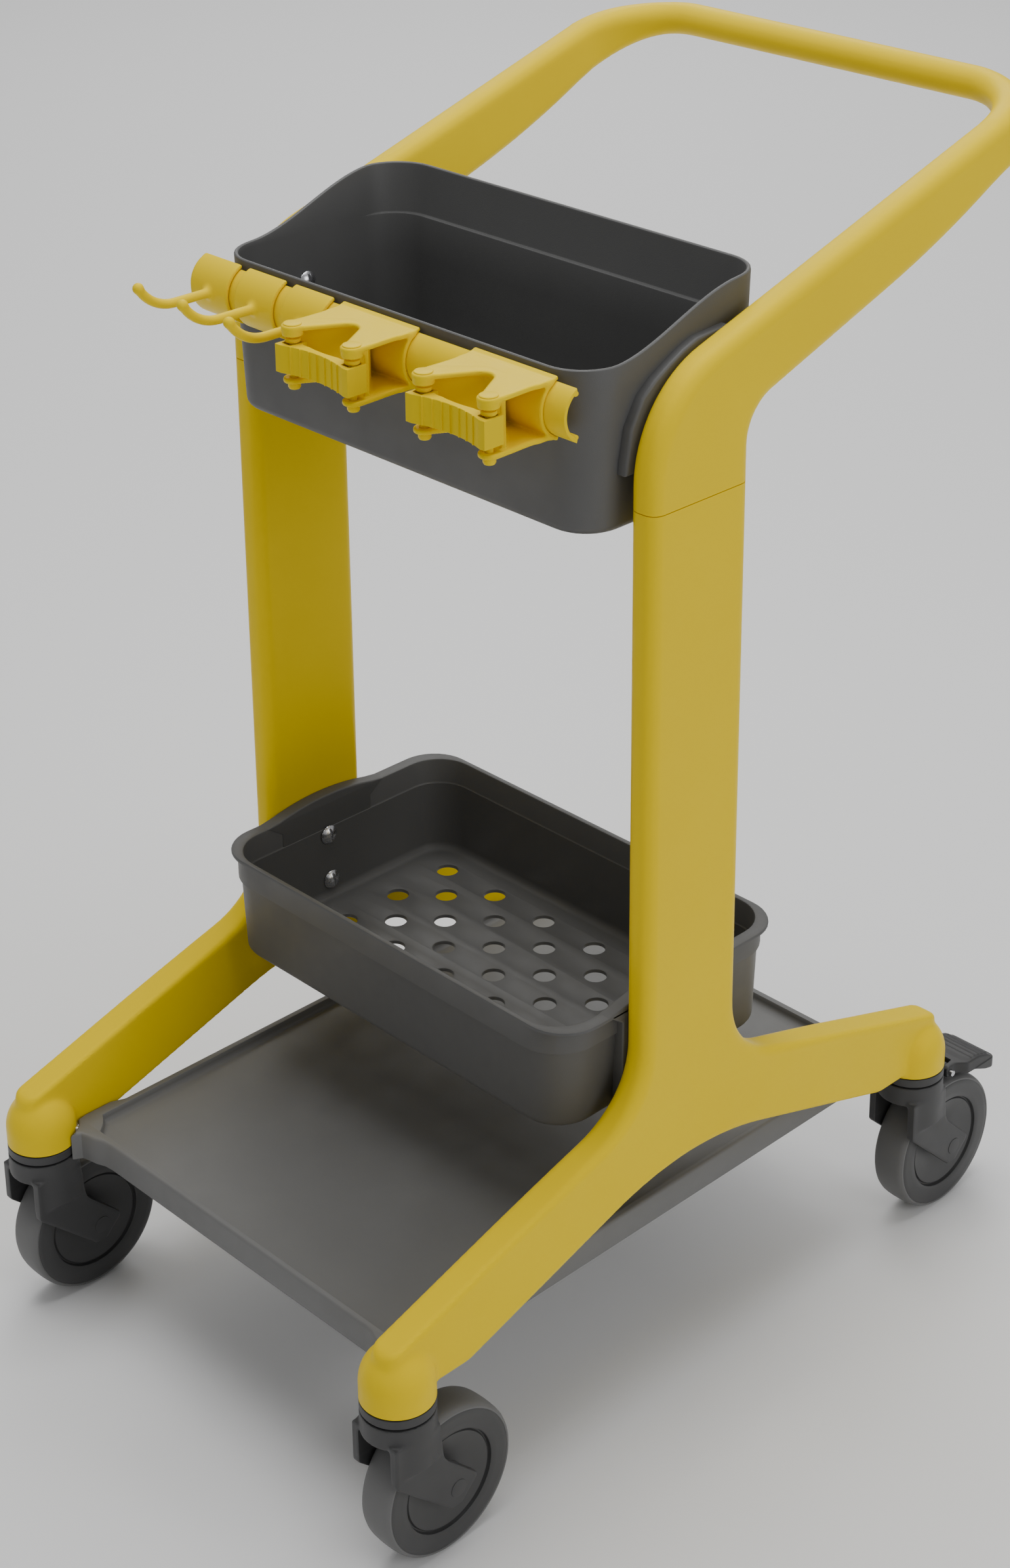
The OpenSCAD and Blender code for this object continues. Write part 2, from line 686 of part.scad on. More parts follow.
left_side_frame();
right_side_frame();
handle_frame();
left_handle_spigot();
right_handle_spigot();
top_bin();
bin_bolts_left();
bin_bolts_right();
rear_bag_lip();
lower_tray();
tray_bolts_left();
tray_bolts_right();
base_deck();
deck_pins();
tool_rail();
rail_screws();
hook_1();
hook_2();
hook_3();
clip_body_1();
grip_band_1();
clip_pins_1();
clip_body_2();
grip_band_2();
clip_pins_2();
for (corner = ["fl", "fr", "rl", "rr"]) {
    at_castor(corner) stem();
    at_castor(corner) collar();
    at_castor(corner) fork(corner[0] == "r");
    at_castor(corner) axle();
    at_castor(corner) wheel_core();
    at_castor(corner) wheel_bearings();
    at_castor(corner) tyre();
}
for (corner = ["rl", "rr"]) {
    at_castor(corner) brake_pedal();
    at_castor(corner) pedal_pin();
}
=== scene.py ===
"""Looks of a wheeled cleaning trolley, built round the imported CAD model.

Shapes are worked out in millimetres as (x, u, z): u is the distance behind
the uprights' centre line, and z the height over the floor.
"""

import math

import bmesh
import bpy
import numpy as np
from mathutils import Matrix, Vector, geometry


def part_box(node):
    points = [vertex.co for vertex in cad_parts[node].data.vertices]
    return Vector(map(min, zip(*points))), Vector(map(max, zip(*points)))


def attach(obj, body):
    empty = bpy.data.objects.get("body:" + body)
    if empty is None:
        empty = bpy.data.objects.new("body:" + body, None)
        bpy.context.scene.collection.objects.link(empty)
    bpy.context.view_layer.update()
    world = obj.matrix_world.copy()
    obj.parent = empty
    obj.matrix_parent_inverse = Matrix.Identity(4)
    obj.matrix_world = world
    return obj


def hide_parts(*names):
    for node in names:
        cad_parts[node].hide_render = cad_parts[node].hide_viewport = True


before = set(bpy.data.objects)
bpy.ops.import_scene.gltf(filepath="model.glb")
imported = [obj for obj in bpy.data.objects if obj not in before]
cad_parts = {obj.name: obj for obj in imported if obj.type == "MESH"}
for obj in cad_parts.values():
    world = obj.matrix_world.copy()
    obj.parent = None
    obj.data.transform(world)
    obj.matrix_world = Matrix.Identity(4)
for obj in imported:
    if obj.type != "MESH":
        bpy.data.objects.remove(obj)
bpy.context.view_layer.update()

MM = 0.001


def middle(node):
    """Centre of a CAD node's box, in millimetres."""
    low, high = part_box(node)
    return np.array((low + high) / 2) / MM


UPRIGHT_Y = middle("right_side_frame")[1]

# Grid steps of the meshes cast from distance fields, in millimetres.
FRAME_STEP, HANDLE_STEP, FORK_STEP, FITTING_STEP, BOLT_STEP = 2.6, 3, 1.3, 1.0, 0.5
HOOK_STEP = 1.1

# ------------------------------------------------------------------ materials


def plastic(name, colour, dark, roughness, grain, grain_size, specular=0.5, glint=(1, 1, 1)):
    """Moulded plastic: fine surface grain, slight unevenness in colour and gloss."""
    material = bpy.data.materials.new(name)
    material.use_nodes = True
    nodes, links = material.node_tree.nodes, material.node_tree.links
    shader = nodes["Principled BSDF"]
    shader.inputs["Specular IOR Level"].default_value = specular
    shader.inputs["Specular Tint"].default_value = (*glint, 1)
    place = nodes.new("ShaderNodeTexCoord")

    def noise(scale, detail):
        node = nodes.new("ShaderNodeTexNoise")
        node.inputs["Scale"].default_value = scale
        node.inputs["Detail"].default_value = detail
        links.new(place.outputs["Object"], node.inputs["Vector"])
        return node.outputs["Fac"]

    def spread(source, low, high):
        node = nodes.new("ShaderNodeMapRange")
        node.inputs["From Min"].default_value = 0.3
        node.inputs["From Max"].default_value = 0.7
        node.inputs["To Min"].default_value = low
        node.inputs["To Max"].default_value = high
        links.new(source, node.inputs["Value"])
        return node.outputs["Result"]

    tint = nodes.new("ShaderNodeMix")
    tint.data_type = "RGBA"
    tint.inputs["A"].default_value = (*dark, 1)
    tint.inputs["B"].default_value = (*colour, 1)
    links.new(spread(noise(7, 3), 0.0, 1.0), tint.inputs["Factor"])
    links.new(tint.outputs["Result"], shader.inputs["Base Color"])
    links.new(spread(noise(40, 4), roughness - 0.05, roughness + 0.05), shader.inputs["Roughness"])
    bump = nodes.new("ShaderNodeBump")
    bump.inputs["Strength"].default_value = grain
    bump.inputs["Distance"].default_value = 0.0004
    links.new(noise(grain_size, 2), bump.inputs["Height"])
    links.new(bump.outputs["Normal"], shader.inputs["Normal"])
    return material


def zinc(name, grey, roughness, scratch):
    """Zinc-plated steel with fine brushed streaks."""
    material = bpy.data.materials.new(name)
    material.use_nodes = True
    nodes, links = material.node_tree.nodes, material.node_tree.links
    shader = nodes["Principled BSDF"]
    shader.inputs["Base Color"].default_value = (grey, grey, grey * 1.03, 1)
    shader.inputs["Metallic"].default_value = 1.0
    place = nodes.new("ShaderNodeTexCoord")
    stretch = nodes.new("ShaderNodeMapping")
    stretch.inputs["Scale"].default_value = (1, 1, 9)
    links.new(place.outputs["Object"], stretch.inputs["Vector"])
    streaks = nodes.new("ShaderNodeTexNoise")
    streaks.inputs["Scale"].default_value = 260
    streaks.inputs["Detail"].default_value = 4
    links.new(stretch.outputs["Vector"], streaks.inputs["Vector"])
    gloss = nodes.new("ShaderNodeMapRange")
    gloss.inputs["To Min"].default_value = roughness - 0.08
    gloss.inputs["To Max"].default_value = roughness + 0.12
    links.new(streaks.outputs["Fac"], gloss.inputs["Value"])
    links.new(gloss.outputs["Result"], shader.inputs["Roughness"])
    bump = nodes.new("ShaderNodeBump")
    bump.inputs["Strength"].default_value = scratch
    bump.inputs["Distance"].default_value = 0.0001
    links.new(streaks.outputs["Fac"], bump.inputs["Height"])
    links.new(bump.outputs["Normal"], shader.inputs["Normal"])
    return material


FINISH = {
    "yellow_frame": plastic("Yellow_Frame", (0.92, 0.66, 0.0), (0.89, 0.63, 0.0), 0.42, 0.05, 700,
                            0.2, (1, 0.7, 0)),
    "yellow_fittings": plastic("Yellow_Fittings", (0.94, 0.68, 0.0), (0.90, 0.65, 0.0), 0.38, 0.04,
                               900, 0.25, (1, 0.7, 0)),
    "yellow_rubber": plastic("Yellow_Rubber", (0.88, 0.64, 0.0), (0.84, 0.61, 0.0), 0.55, 0.08,
                             800, 0.2, (1, 0.7, 0)),
    "dark_plastic": plastic("Dark_Plastic", (0.100, 0.100, 0.098), (0.090, 0.090, 0.089), 0.52,
                            0.22, 1500),
    "castor_plastic": plastic("Castor_Plastic", (0.045, 0.045, 0.046), (0.039, 0.039, 0.040), 0.5,
                              0.12, 1300),
    "black_plastic": plastic("Black_Plastic", (0.018, 0.018, 0.02), (0.014, 0.014, 0.016), 0.5,
                             0.12, 1300),
    "grey_tyre": plastic("Grey_Tyre", (0.15, 0.15, 0.149), (0.135, 0.135, 0.134), 0.62, 0.15, 1000),
    "castor_steel": zinc("Castor_Steel", 0.55, 0.34, 0.15),
    "bolts": zinc("Bolt_Steel", 0.72, 0.24, 0.1),
}
# Painted light: a lighter copy of the dark plastic for the deck. It stands in for the light falling
# on the deck's upward-facing top, which is the same plastic as the bin and tray.
DECK_PLASTIC_PAINTED_LIGHT = plastic("Deck_Plastic_Painted_Light", (0.165, 0.165, 0.162), (0.150, 0.150, 0.148), 0.55, 0.22,
                      1500)
WHEEL_DISC = plastic("Wheel_Disc", (0.052, 0.052, 0.052), (0.046, 0.046, 0.047), 0.45, 0.10, 1300)

# --------------------------------------------------------------- mesh helpers


class Shape:
    """Vertices and faces of a piece in the making."""

    def __init__(self):
        self.verts, self.faces = [], []

    def ring(self, points):
        start = len(self.verts)
        self.verts.extend(tuple(p) for p in points)
        return list(range(start, len(self.verts)))

    def bridge(self, a, b):
        for i in range(len(a)):
            self.faces.append((a[i - 1], a[i], b[i], b[i - 1]))

    def skin(self, rings):
        """Faces from each ring to the next."""
        for one, two in zip(rings, rings[1:]):
            self.bridge(one, two)

    def cap(self, ring):
        self.faces.append(tuple(ring))

    def fill(self, rings, flat=lambda p: (p[0], p[1])):
        """Triangles between an outer ring and the holes in it."""
        loops = [[Vector((*flat(self.verts[i]), 0)) for i in ring] for ring in rings]
        index = [i for ring in rings for i in ring]
        for tri in geometry.tessellate_polygon(loops):
            self.faces.append(tuple(index[i] for i in tri))

    def add(self, other):
        start = len(self.verts)
        self.verts.extend(other.verts)
        self.faces.extend(tuple(i + start for i in f) for f in other.faces)
        return self

    def moved(self, dx=0.0, du=0.0, dz=0.0):
        copy = Shape()
        copy.verts = [(x + dx, u + du, z + dz) for x, u, z in self.verts]
        copy.faces = list(self.faces)
        return copy

    def mirrored(self):
        copy = Shape()
        copy.verts = [(-x, u, z) for x, u, z in self.verts]
        copy.faces = [f[::-1] for f in self.faces]
        return copy


def both(shape):
    return Shape().add(shape).add(shape.mirrored())


def arc(centre, radius, start, end, steps):
    """Points on an arc; its angles are in degrees."""
    angles = np.radians(np.linspace(start, end, steps + 1))
    return [(centre[0] + radius * math.cos(a), centre[1] + radius * math.sin(a)) for a in angles]


def clockwise_circle(centre, radius, steps):
    return arc(centre, radius, 360, 0, steps)[1:]


def quarter_turn(steps):
    """Angles from 0 to a right angle, in radians."""
    return [math.pi / 2 * k / steps for k in range(steps + 1)]


def rounded(corners):
    """Closed loop through corners (a, b, radius), each rounded to its radius."""
    points = []
    count = len(corners)
    for i, (a, b, radius) in enumerate(corners):
        here = Vector((a, b))
        if radius <= 0:
            points.append((a, b))
            continue
        before = (here - Vector(corners[i - 1][:2])).normalized()
        after = (Vector(corners[(i + 1) % count][:2]) - here).normalized()
        turn = math.atan2(before.x * after.y - before.y * after.x, before.dot(after))
        side = 1 if turn > 0 else -1
        reach = radius * math.tan(abs(turn) / 2)
        middle_point = here - before * reach + Vector((-before.y, before.x)) * side * radius
        first = math.atan2(*(here - before * reach - middle_point).yx)
        steps = max(2, math.ceil(abs(turn) / math.radians(11)))
        for k in range(steps + 1):
            angle = first + turn * k / steps
            points.append((middle_point.x + radius * math.cos(angle),
                           middle_point.y + radius * math.sin(angle)))
    return points


def inset(loop, depth):
    """The loop moved to its left by depth: inwards when it runs anticlockwise."""
    points = [Vector(p) for p in loop]
    moved = []
    for i, p in enumerate(points):
        a = (p - points[i - 1]).normalized()
        b = (points[(i + 1) % len(points)] - p).normalized()
        na, nb = Vector((-a.y, a.x)), Vector((-b.y, b.x))
        moved.append(tuple(p + (na + nb) * depth / max(0.3, 1 + na.dot(nb))))
    return moved


def prism(loops, low, high, edge, axis="z", steps=3):
    """Plate with rounded edges. loops[0] runs anticlockwise and holes run clockwise."""
    shape = Shape()
    place = {"z": lambda a, b, h: (a, b, h), "x": lambda a, b, h: (h, a, b)}[axis]
    flat = {"z": lambda p: (p[0], p[1]), "x": lambda p: (p[1], p[2])}[axis]
    turns = quarter_turn(steps)
    levels = [(edge * (1 - math.sin(t)), low + edge * (1 - math.cos(t))) for t in turns]
    levels += [(depth, high - (height - low)) for depth, height in reversed(levels)]
    ends = [[], []]
    for loop in loops:
        rings = []
        for depth, height in levels:
            points = inset(loop, depth) if depth > 1e-6 else loop
            rings.append(shape.ring(place(a, b, height) for a, b in points))
        shape.skin(rings)
        ends[0].append(rings[0])
        ends[1].append(rings[-1])
    for rings in ends:
        shape.fill(rings, flat)
    return shape


def revolve(profile, axis="z", steps=64, centre=(0, 0, 0), closed=False):
    """Turns a profile of (radius, height) about an axis through centre."""
    shape = Shape()
    rings = []
    for radius, height in profile:
        points = []
        for k in range(steps):
            c, s = math.cos(2 * math.pi * k / steps), math.sin(2 * math.pi * k / steps)
            p = (radius * c, radius * s, height) if axis == "z" else (height, radius * c,
                    radius * s)
            points.append(tuple(p[i] + centre[i] for i in range(3)))
        rings.append(shape.ring(points))
    shape.skin(rings)
    if closed:
        shape.bridge(rings[-1], rings[0])
    return shape


# Signed distances in millimetres, negative inside, for shapes that blend.


def to_polygon(points, a, b):
    best, inside = np.inf, False
    for (a0, b0), (a1, b1) in zip(points, points[1:] + points[:1]):
        ea, eb = a1 - a0, b1 - b0
        length = ea * ea + eb * eb
        if length < 1e-12:
            continue
        t = np.clip(((a - a0) * ea + (b - b0) * eb) / length, 0, 1)
        best = np.minimum(best, (a - a0 - t * ea) ** 2 + (b - b0 - t * eb) ** 2)
        if eb != 0:
            crosses = ((b0 <= b) & (b < b1)) | ((b1 <= b) & (b < b0))
            inside = inside ^ (crosses & (a < a0 + (b - b0) * ea / eb))
    return np.where(inside, -1, 1) * np.sqrt(best)


def join_round(one, two, edge):
    """Where both distances are negative, with the edge between them rounded."""
    p, q = one + edge, two + edge
    return np.minimum(np.maximum(p, q), 0) + np.hypot(np.maximum(p, 0), np.maximum(q, 0)) - edge


def soft_min(one, two, blend):
    overlap = np.maximum(blend - np.abs(one - two), 0) / blend
    return np.minimum(one, two) - overlap * overlap * blend / 4


def soft_max(one, two, blend):
    return -soft_min(-one, -two, blend)


def to_path(points, radius, x, u, z):
    """Distance to a rod along a line of points in the plane x = 0."""
    best = np.inf
    for (u0, z0), (u1, z1) in zip(points, points[1:]):
        eu, ez = u1 - u0, z1 - z0
        t = np.clip(((u - u0) * eu + (z - z0) * ez) / (eu * eu + ez * ez), 0, 1)
        best = np.minimum(best, (u - u0 - t * eu) ** 2 + (z - z0 - t * ez) ** 2)
    return np.sqrt(best + x * x) - radius


def cast(field, low, high, step):
    """Mesh of the surface where field(x, u, z) is zero: a surface net, pulled onto it."""
    low = np.array(low, float)
    count = np.ceil((np.array(high) - low) / step).astype(int) + 1
    grid = [low[i] + step * np.arange(count[i]) for i in range(3)]
    values = field(grid[0][:, None, None], grid[1][None, :, None], grid[2][None, None, :])
    values = np.broadcast_to(values, count).astype(np.float64)
    cells = count - 1
    total, number = np.zeros((*cells, 3)), np.zeros(cells)

    def corner(offset):
        return values[tuple(slice(o, o + c) for o, c in zip(offset, cells))]

    for axis in range(3):
        for a in (0, 1):
            for b in (0, 1):
                near = [a, b]
                near.insert(axis, 0)
                far = list(near)
                far[axis] = 1
                p, q = corner(near), corner(far)
                cross = (p < 0) != (q < 0)
                share = np.where(cross, p / np.where(cross, p - q, 1), 0)
                for i in range(3):
                    total[..., i] += np.where(cross, near[i] + (share if i == axis else 0), 0)
                number += cross
    mixed = number > 0
    index = np.full(tuple(cells), -1)
    index[mixed] = np.arange(mixed.sum())
    points = low + step * (np.argwhere(mixed) + total[mixed] / number[mixed][:, None])
    faces = []
    for axis in range(3):
        b, c = (axis + 1) % 3, (axis + 2) % 3
        near = [slice(None)] * 3
        far = [slice(None)] * 3
        near[axis], far[axis] = slice(0, -1), slice(1, None)
        p, q = values[tuple(near)], values[tuple(far)]
        at = np.argwhere((p < 0) != (q < 0))
        at = at[(at[:, b] > 0) & (at[:, c] > 0) & (at[:, b] < cells[b]) & (at[:, c] < cells[c])]
        corners = []
        for db, dc in ((0, 0), (1, 0), (1, 1), (0, 1)):
            cell = at.copy()
            cell[:, b] -= db
            cell[:, c] -= dc
            corners.append(index[tuple(cell.T)])
        quads = np.stack(corners, 1)
        falls = p[tuple(at.T)] > 0
        quads[falls] = quads[falls][:, ::-1]
        faces.append(quads)
    nudge = step * 0.02
    for _ in range(3):
        value = field(*points.T)
        slope = np.empty_like(points)
        for i in range(3):
            shifted = points.copy()
            shifted[:, i] += nudge
            slope[:, i] = (field(*shifted.T) - value) / nudge
        size = np.maximum((slope**2).sum(1), 0.25)
        points -= (np.clip(value, -step, step) / size)[:, None] * slope
    shape = Shape()
    shape.verts = [tuple(p) for p in points.tolist()]
    shape.faces = [tuple(f) for f in np.concatenate(faces).tolist()]
    return shape


def piece(name, shape, body, slot, nodes=(), at=(0, 0, 0), crease=34, cuts=(), material=None):
    """Makes the object, rides it on its body and lets it stand for its CAD nodes.

    cuts are planes (height, keep) that cut the shape level: keep is 1 above, -1 below.
    """
    mesh = bpy.data.meshes.new(name)
    shift = np.array(at) + (0, UPRIGHT_Y, 0)
    mesh.from_pydata(((np.array(shape.verts) + shift) * MM).tolist(), [], shape.faces)
    bm = bmesh.new()
    bm.from_mesh(mesh)
    bmesh.ops.remove_doubles(bm, verts=bm.verts, dist=2e-6)
    for height, keep in cuts:
        bmesh.ops.bisect_plane(
            bm,
            geom=bm.verts[:] + bm.edges[:] + bm.faces[:],
            dist=1e-6,
            plane_co=(0, 0, height * MM),
            plane_no=(0, 0, keep),
            clear_inner=True,
        )
        bmesh.ops.holes_fill(bm, edges=[e for e in bm.edges if e.is_boundary], sides=0)
    bmesh.ops.recalc_face_normals(bm, faces=bm.faces)
    bm.to_mesh(mesh)
    bm.free()
    mesh.shade_smooth()
    mesh.set_sharp_from_angle(angle=math.radians(crease))
    mesh.materials.append(material or FINISH[slot])
    thing = bpy.data.objects.new(name, mesh)
    bpy.context.scene.collection.objects.link(thing)
    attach(thing, body)
    if nodes:
        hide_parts(*nodes)
    return thing


# ---------------------------------------------------------------- side frames
PLATE_X, PLATE_T = 220, 26
UPRIGHT_HALF = 50.5
JOINT_Z = 773
SEAM = 0.35                    # half the open line between frame and handle
HALF_BASE = 295.5
CASTOR_X = 219
FOOT_R, FOOT_Z, LEG_END_Z = 28.5, 156.4, 159.0
EDGE, LEG_EDGE = 10, 3.2       # rounding of the edges: uprights and arms, legs
TOP_SLOPE, LOW_SLOPE = math.atan(0.305), math.atan(0.318)


def leg_top(d):
    return 254 - 0.305 * (d - 150.8)


def leg_low(d):
    return 200.5 - 0.318 * (d - 106)


def frame_outline():
    """Side view of a frame: an upright that spreads into two legs over a low arch."""
    crotch, arch, nose = 70, 269, 12
    end = HALF_BASE + 20
    fillet_z = leg_top(UPRIGHT_HALF) + crotch * math.tan((math.pi / 2 - TOP_SLOPE) / 2)
    half = [(UPRIGHT_HALF, JOINT_Z + 30)]
    half += arc((UPRIGHT_HALF + crotch, fillet_z), crotch, 180, 270 - math.degrees(TOP_SLOPE), 14)
    half += arc((end - nose, leg_top(end) - nose), nose, 80, 0, 6)
    half += rounded([(end, LEG_END_Z, 0), (106 + (200.5 - LEG_END_Z) / 0.318, LEG_END_Z, 30),
                     (106, 200.5, 0)])[:-1]
    half += arc((0, leg_low(0) - arch / math.cos(LOW_SLOPE)), arch, 90 - math.degrees(LOW_SLOPE),
                90, 8)
    return half + [(-u, z) for u, z in reversed(half[:-1])]


FRAME_LOOP = frame_outline()


def side_frame(x, u, z):
    """Plate with a low dome over each castor; its edges grow rounder up the legs."""
    up = np.clip((z - 235) / 75, 0, 1)
    edge = LEG_EDGE + (EDGE - LEG_EDGE) * up * up * (3 - 2 * up)
    across = np.hypot(x - PLATE_X, np.maximum(np.abs(u) - HALF_BASE - 7, 0)) - PLATE_T / 2
    plate = join_round(to_polygon(FRAME_LOOP, u, z), across, edge)
    above = np.maximum(z - 170, 0) * FOOT_R / 30
    foot = np.sqrt((x - CASTOR_X) ** 2 + (np.abs(u) - HALF_BASE) ** 2 + above**2) - FOOT_R
    return soft_min(plate, foot, 3)


right_frame = cast(side_frame, (187, -328, 149), (251, 328, 779), FRAME_STEP)
for side, shape in (("left", right_frame.mirrored()), ("right", right_frame)):
    piece(f"Side_Frame_{side.title()}", shape, "chassis", "yellow_frame", [f"{side}_side_frame"],
          cuts=[(FOOT_Z, 1), (JOINT_Z - SEAM, -1)])

# --------------------------------------------------------------- handle frame
TILT = math.radians(20)
GRIP_U, GRIP_Z, GRIP_R = 401.5, 984, 13.5
BEND_R = 72.5
BEND = (PLATE_X - BEND_R, GRIP_U - BEND_R * math.cos(TILT), GRIP_Z - BEND_R * math.sin(TILT))
ARM_HALF = 20.7


def arm_outline():
    """Side view of an arm: it turns back from the joint and narrows to the bend."""
    top_slope, low_slope = 17.8, 19.3
    front_r, rear_r, curve_r = 94, 35, 850
    front_z = 858.9 - front_r * math.tan(math.radians(45 - top_slope / 2))
    rear_z = 825.4 - rear_r * math.tan(math.radians(45 - low_slope / 2))
    out = 9                    # the plate runs this far into the bend
    ahead = Vector((math.cos(TILT), math.sin(TILT)))
    across = Vector((-ahead.y, ahead.x)) * ARM_HALF
    start = Vector(BEND[1:])
    curve = Vector((203.5, 879)) + curve_r * Vector((-math.sin(math.radians(low_slope)),
                                                     math.cos(math.radians(low_slope))))
    return (
        [(-UPRIGHT_HALF, JOINT_Z - 30)]
        + arc((-UPRIGHT_HALF + front_r, front_z), front_r, 180, 90 + top_slope, 16)
        + [tuple(start + across), tuple(start + across + ahead * out),
           tuple(start - across + ahead * out), tuple(start - across)]
        + arc(curve, curve_r, -62, low_slope - 90, 8)
        + arc((UPRIGHT_HALF + rear_r, rear_z), rear_r, 90 + low_slope, 180, 10)
        + [(UPRIGHT_HALF, JOINT_Z - 30)]
    )


ARM_LOOP = arm_outline()


def handle(x, u, z):
    """Both arms, the two bends that turn oval arms into a round grip, and the grip."""
    x = np.abs(x)
    arm = join_round(to_polygon(ARM_LOOP, u, z), np.abs(x - PLATE_X) - PLATE_T / 2, EDGE)
    along = (u - BEND[1]) * math.cos(TILT) + (z - BEND[2]) * math.sin(TILT)
    above = (z - BEND[2]) * math.cos(TILT) - (u - BEND[1]) * math.sin(TILT)
    turn = np.clip(np.arctan2(along, x - BEND[0]) / (math.pi / 2), 0, 1)
    ease = np.clip(turn / 0.8, 0, 1)
    ease = ease * ease * (3 - 2 * ease)
    tall = ARM_HALF + (GRIP_R - ARM_HALF) * ease
    wide = PLATE_T / 2 + (GRIP_R - PLATE_T / 2) * ease
    corner = EDGE + (GRIP_R - EDGE) * ease
    out = np.hypot(along, x - BEND[0]) - BEND_R
    past = np.maximum(np.maximum(-along, BEND[0] - x), 0)
    section = join_round(np.abs(out) - wide, np.abs(above) - tall, corner)
    bend = np.hypot(np.maximum(section, 0), past) + np.minimum(section, 0)
    bar = np.hypot(np.hypot(u - GRIP_U, z - GRIP_Z), np.maximum(x - BEND[0], 0)) - GRIP_R
    return np.minimum(np.minimum(arm, bend), bar)


piece("Handle_Frame", cast(handle, (-238, -54, 766), (238, 420, 1001), HANDLE_STEP), "chassis",
      "yellow_frame",
      ["handle_frame"], cuts=[(JOINT_Z + SEAM, 1)])

# -------------------------------------------------------------------- top bin
BIN_Z, RIM_FRONT_Z, RIM_REAR_Z = 752, 878, 914
BIN_W, BIN_FRONT, BIN_BACK, BIN_R = 200.4, -89, 105, 37
LEDGE_Z = 873
WALL = 3.5


def box_loop(w, y0, y1, r, corner=9, sides=22, ends=10):
    """Rounded rectangle, always with the same number of points."""
    r = max(r, 1)
    points = []
    spots = [((w - r, y1 - r), 0), ((-w + r, y1 - r), 90), ((-w + r, y0 + r), 180),
             ((w - r, y0 + r), 270)]
    steps = [ends, sides, ends, sides]
    for (centre, start), count, (after, turn) in zip(spots, steps, spots[1:] + spots[:1]):
        bend = arc(centre, r, start, start + 90, corner)
        points += bend
        tail, head = np.array(bend[-1]), np.array(arc(after, r, turn, turn + 90, 1)[0])
        points += [tuple(tail + (head - tail) * k / count) for k in range(1, count)]
    return points


def rim_z(u):
    """Height of the bin's rim, low at the front and high at the back."""
    s = min(max((u + 58) / 133.5, 0), 1)
    return RIM_FRONT_Z + (RIM_REAR_Z - RIM_FRONT_Z) * s * s * (3 - 2 * s)


def bin_ring(depth, level, back=None):
    """Points round the bin, depth inside its outer wall, at the height level(u)."""
    back = depth if back is None else back
    radius = max(BIN_R - depth, 4)
    low = box_loop(BIN_W - 3.4 - depth, BIN_FRONT + 8 + depth, BIN_BACK - 7 - back,
                   max(radius - 4, 4))
    high = box_loop(BIN_W - depth, BIN_FRONT + depth, BIN_BACK - back, radius)
    ring = []
    for (xa, ua), (xb, ub) in zip(low, high):
        z = level(ub)
        f = (z - BIN_Z) / (RIM_REAR_Z - BIN_Z)
        ring.append((xa + (xb - xa) * f, ua + (ub - ua) * f, z))
    return ring


def level(z):
    return lambda u: z


def below_rim(drop):
    return lambda u: rim_z(u) - drop


def bin_shell():
    """Outer wall, rim, ledge along the back, inner wall and floor, as rings."""
    shape = Shape()
    base, cove = 7, 9
    turns = quarter_turn(5)
    rings = [bin_ring(base * (1 - math.sin(t)),
                      level(BIN_Z + base * (1 - math.cos(t)))) for t in turns]
    rings += [bin_ring(0, level(z)) for z in (790, 830, 860)]
    for depth, drop in ((0, 1.7), (0.3, 0.6), (1.1, 0), (2.4, 0), (3.2, 0.6), (WALL, 1.7)):
        rings.append(bin_ring(depth, below_rim(drop)))
    for back, z in ((WALL, LEDGE_Z + 0.9), (WALL + 0.3, LEDGE_Z + 0.2), (WALL + 0.9, LEDGE_Z),
                    (7.2, LEDGE_Z), (7.8, LEDGE_Z - 0.3), (8, LEDGE_Z - 1)):
        rings.append(bin_ring(WALL, level(z), back))
    rings += [bin_ring(WALL, level(z), 8) for z in (840, 800)]
    floor = BIN_Z + WALL
    rings += [bin_ring(WALL + cove * (1 - math.cos(t)), level(floor + cove * (1 - math.sin(t))),
                       8 + cove * (1 - math.cos(t))) for t in turns]
    loops = [shape.ring(r) for r in rings]
    shape.skin(loops)
    shape.cap(loops[0][::-1])
    shape.cap(loops[-1])
    return shape


PAD_LOOP = [(-51.5, 797), (52, 797), (52, 884), (20, 882), (6, 877), (-7.7, 870), (-22, 862),
            (-34.7, 852), (-40, 843), (-46.7, 831), (-51, 806)]
bin_pads = both(prism([PAD_LOOP], 196.5, 206.9, 2.2, "x"))
RAIL_Z = 851
rail_pads = prism([rounded([(-164, RAIL_Z - 12, 2), (164, RAIL_Z - 12, 2), (164, RAIL_Z + 12, 2),
                            (-164, RAIL_Z + 12, 2)])], -90, -80, 0.8)
rail_pads.verts = [(a, h, b) for a, b, h in rail_pads.verts]
piece("Top_Bin", bin_shell().add(bin_pads).add(rail_pads), "chassis", "dark_plastic", ["top_bin"])

LIP_LOOP = rounded([(105.2, 898, 0), (112, 898, 1), (114, 897, 1), (114, 879, 2.9),
                    (120, 879, 2.9), (120, 900, 5), (114, 905, 5), (105.2, 905, 0)])
piece("Rear_Bag_Lip", prism([LIP_LOOP], -152, 152, 1.2, "x"), "chassis", "dark_plastic",
      ["rear_bag_lip"])

# ---------------------------------------------------------------------- bolts


def bolt(seat):
    """Domed, slotted head on a wall at x = seat, with its shank behind."""
    def field(x, u, z):
        reach = np.hypot(u, z)
        dome = soft_max(np.sqrt((x - seat - 6.75) ** 2 + reach**2) - 11.25, x - seat, 0.6)
        return soft_max(dome, -np.maximum(np.abs(u) - 1.0, x - (seat - 2.4)), 0.5)
    return cast(field, (seat - 6, -10, -10), (seat + 1, 10, 10), BOLT_STEP)


